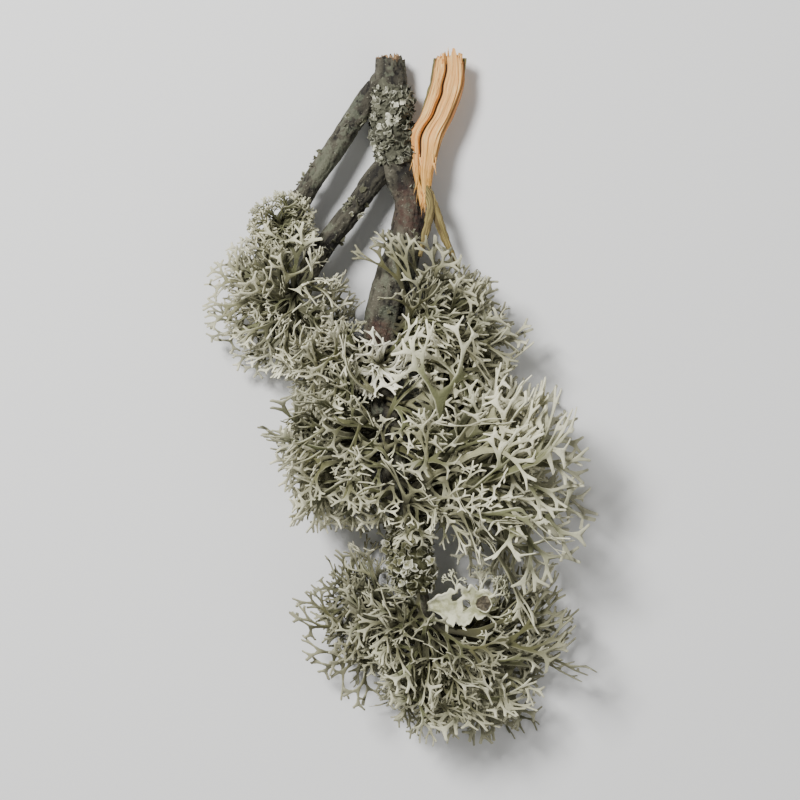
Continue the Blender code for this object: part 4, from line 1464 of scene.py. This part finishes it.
# %% The cup
# The width of each inset and how far it moves the top, in mm.
CUP_INSETS = [(0.18, 0.0), (0.30, -0.35), (0.7, -0.25), (0.6, 0.1)]
bpy.ops.object.select_all(action="DESELECT")
bpy.ops.mesh.primitive_cone_add(vertices=32, radius1=1.3 * MM, radius2=2.5 * MM, depth=2.4 * MM)
cup = bpy.context.object
pick_faces(cup, lambda face: face.normal.z > 0.9)
for thickness, depth in CUP_INSETS:
    bpy.ops.mesh.inset(thickness=thickness * MM, depth=depth * MM)
bpy.ops.object.mode_set(mode="OBJECT")
apply_modifier("SUBSURF")
heights = points_of(cup.data)
discs = (np.hypot(heights[:, 0], heights[:, 1]) < 2.0 * MM) & (heights[:, 2] > 0.2 * MM)
store(cup.data, "disc", discs)
place = foot + away * CUP_REACH * 0.86 * MM + Vector((0.0, 0.0, 1.7 * MM))
for vert in cup.data.vertices:
    angle = math.atan2(vert.co.y, vert.co.x)
    ring = Vector((math.cos(angle), math.sin(angle), 0.0))
    wobble = (1.0 + 0.3 * noise.noise(ring * 1.1 + UP * 3.0)
              + 0.12 * noise.noise(ring * 3.0 + UP * 7.0))
    raised = 0.9 * max(0.0, vert.co.z) * noise.noise(ring * 1.4 + UP * 11.0)
    vert.co = place + Vector((vert.co.x * wobble, vert.co.y * wobble, vert.co.z + raised))
print("cup", triangles(cup.data), "triangles")

# %% [markdown]
# Short forked straps, made like the lobes of the tufts, grow on from the lobe's margin.

# %% Straps on the margin
# Share of the reach, lean off the lobe's heading in degrees, length, and distance from the
# lobe's middle line in mm.
STRAPS = [(0.9, 60, 7.0, 3.0), (1.0, 15, 7.5, 3.0), (0.95, -50, 8.0, 3.0), (0.55, -75, 8.0, 5.0),
          (0.5, 80, 6.0, 3.0), (0.3, -100, 8.0, 5.0), (0.12, -125, 7.0, 4.0)]
straps = []
for number, (share, lean, size, out) in enumerate(STRAPS):
    lean = math.radians(lean)
    spring = foot + (away * share * CUP_REACH * 0.9 + side * math.sin(lean) * out) * MM
    lobe = (spring, turn + lean, 0.3, 0.35, -0.4, 0.5, 1.0, size * MM, FLOOR * MM)
    mesh = bent(flat_lobe(number, size, FINE), lobe)
    store(mesh, "rim", 0.6)
    straps.append(show("strap", mesh))
cup_lobe = join([sheet, cup, *straps])
print("straps on the margin", len(straps))

# %% [markdown]
# The lobe is cream with greyer blotches, and its margin is paler. The cup's disc, where the
# spores ripen, is brown-grey. The mesh stores which points are margin and which are disc.

# %% Cup lobe finish
cream = Finish("cup_lobe", 0.85)
mottle = cream.noise(700.0, 3.0)
wide = cream.noise(240.0, 3.0, 4.0)
shade = cream.mix(cream.rise(mottle, 0.4, 0.65), paint(150, 150, 112), paint(186, 186, 150))
shade = cream.mix(cream.rise(wide, 0.42, 0.62) * 0.8, shade, paint(222, 220, 190))
shade = cream.mix(cream.rise(cream.stored("rim"), 0.3, 0.9) * 0.7, shade, paint(232, 230, 204))
shade = cream.mix(cream.rise(cream.stored("disc"), 0.4, 0.6), shade,
                  cream.mix(cream.rise(mottle, 0.4, 0.6), paint(56, 50, 38), paint(98, 90, 72)))
cream.colour(shade)
cream.relief(mottle, 0.0002)
finish_piece(cup_lobe, "cup_lobe_sheet", cream, "cup_lobe", "cup_lobe")

# %% Bringing the scene up to date
bpy.context.view_layer.update()
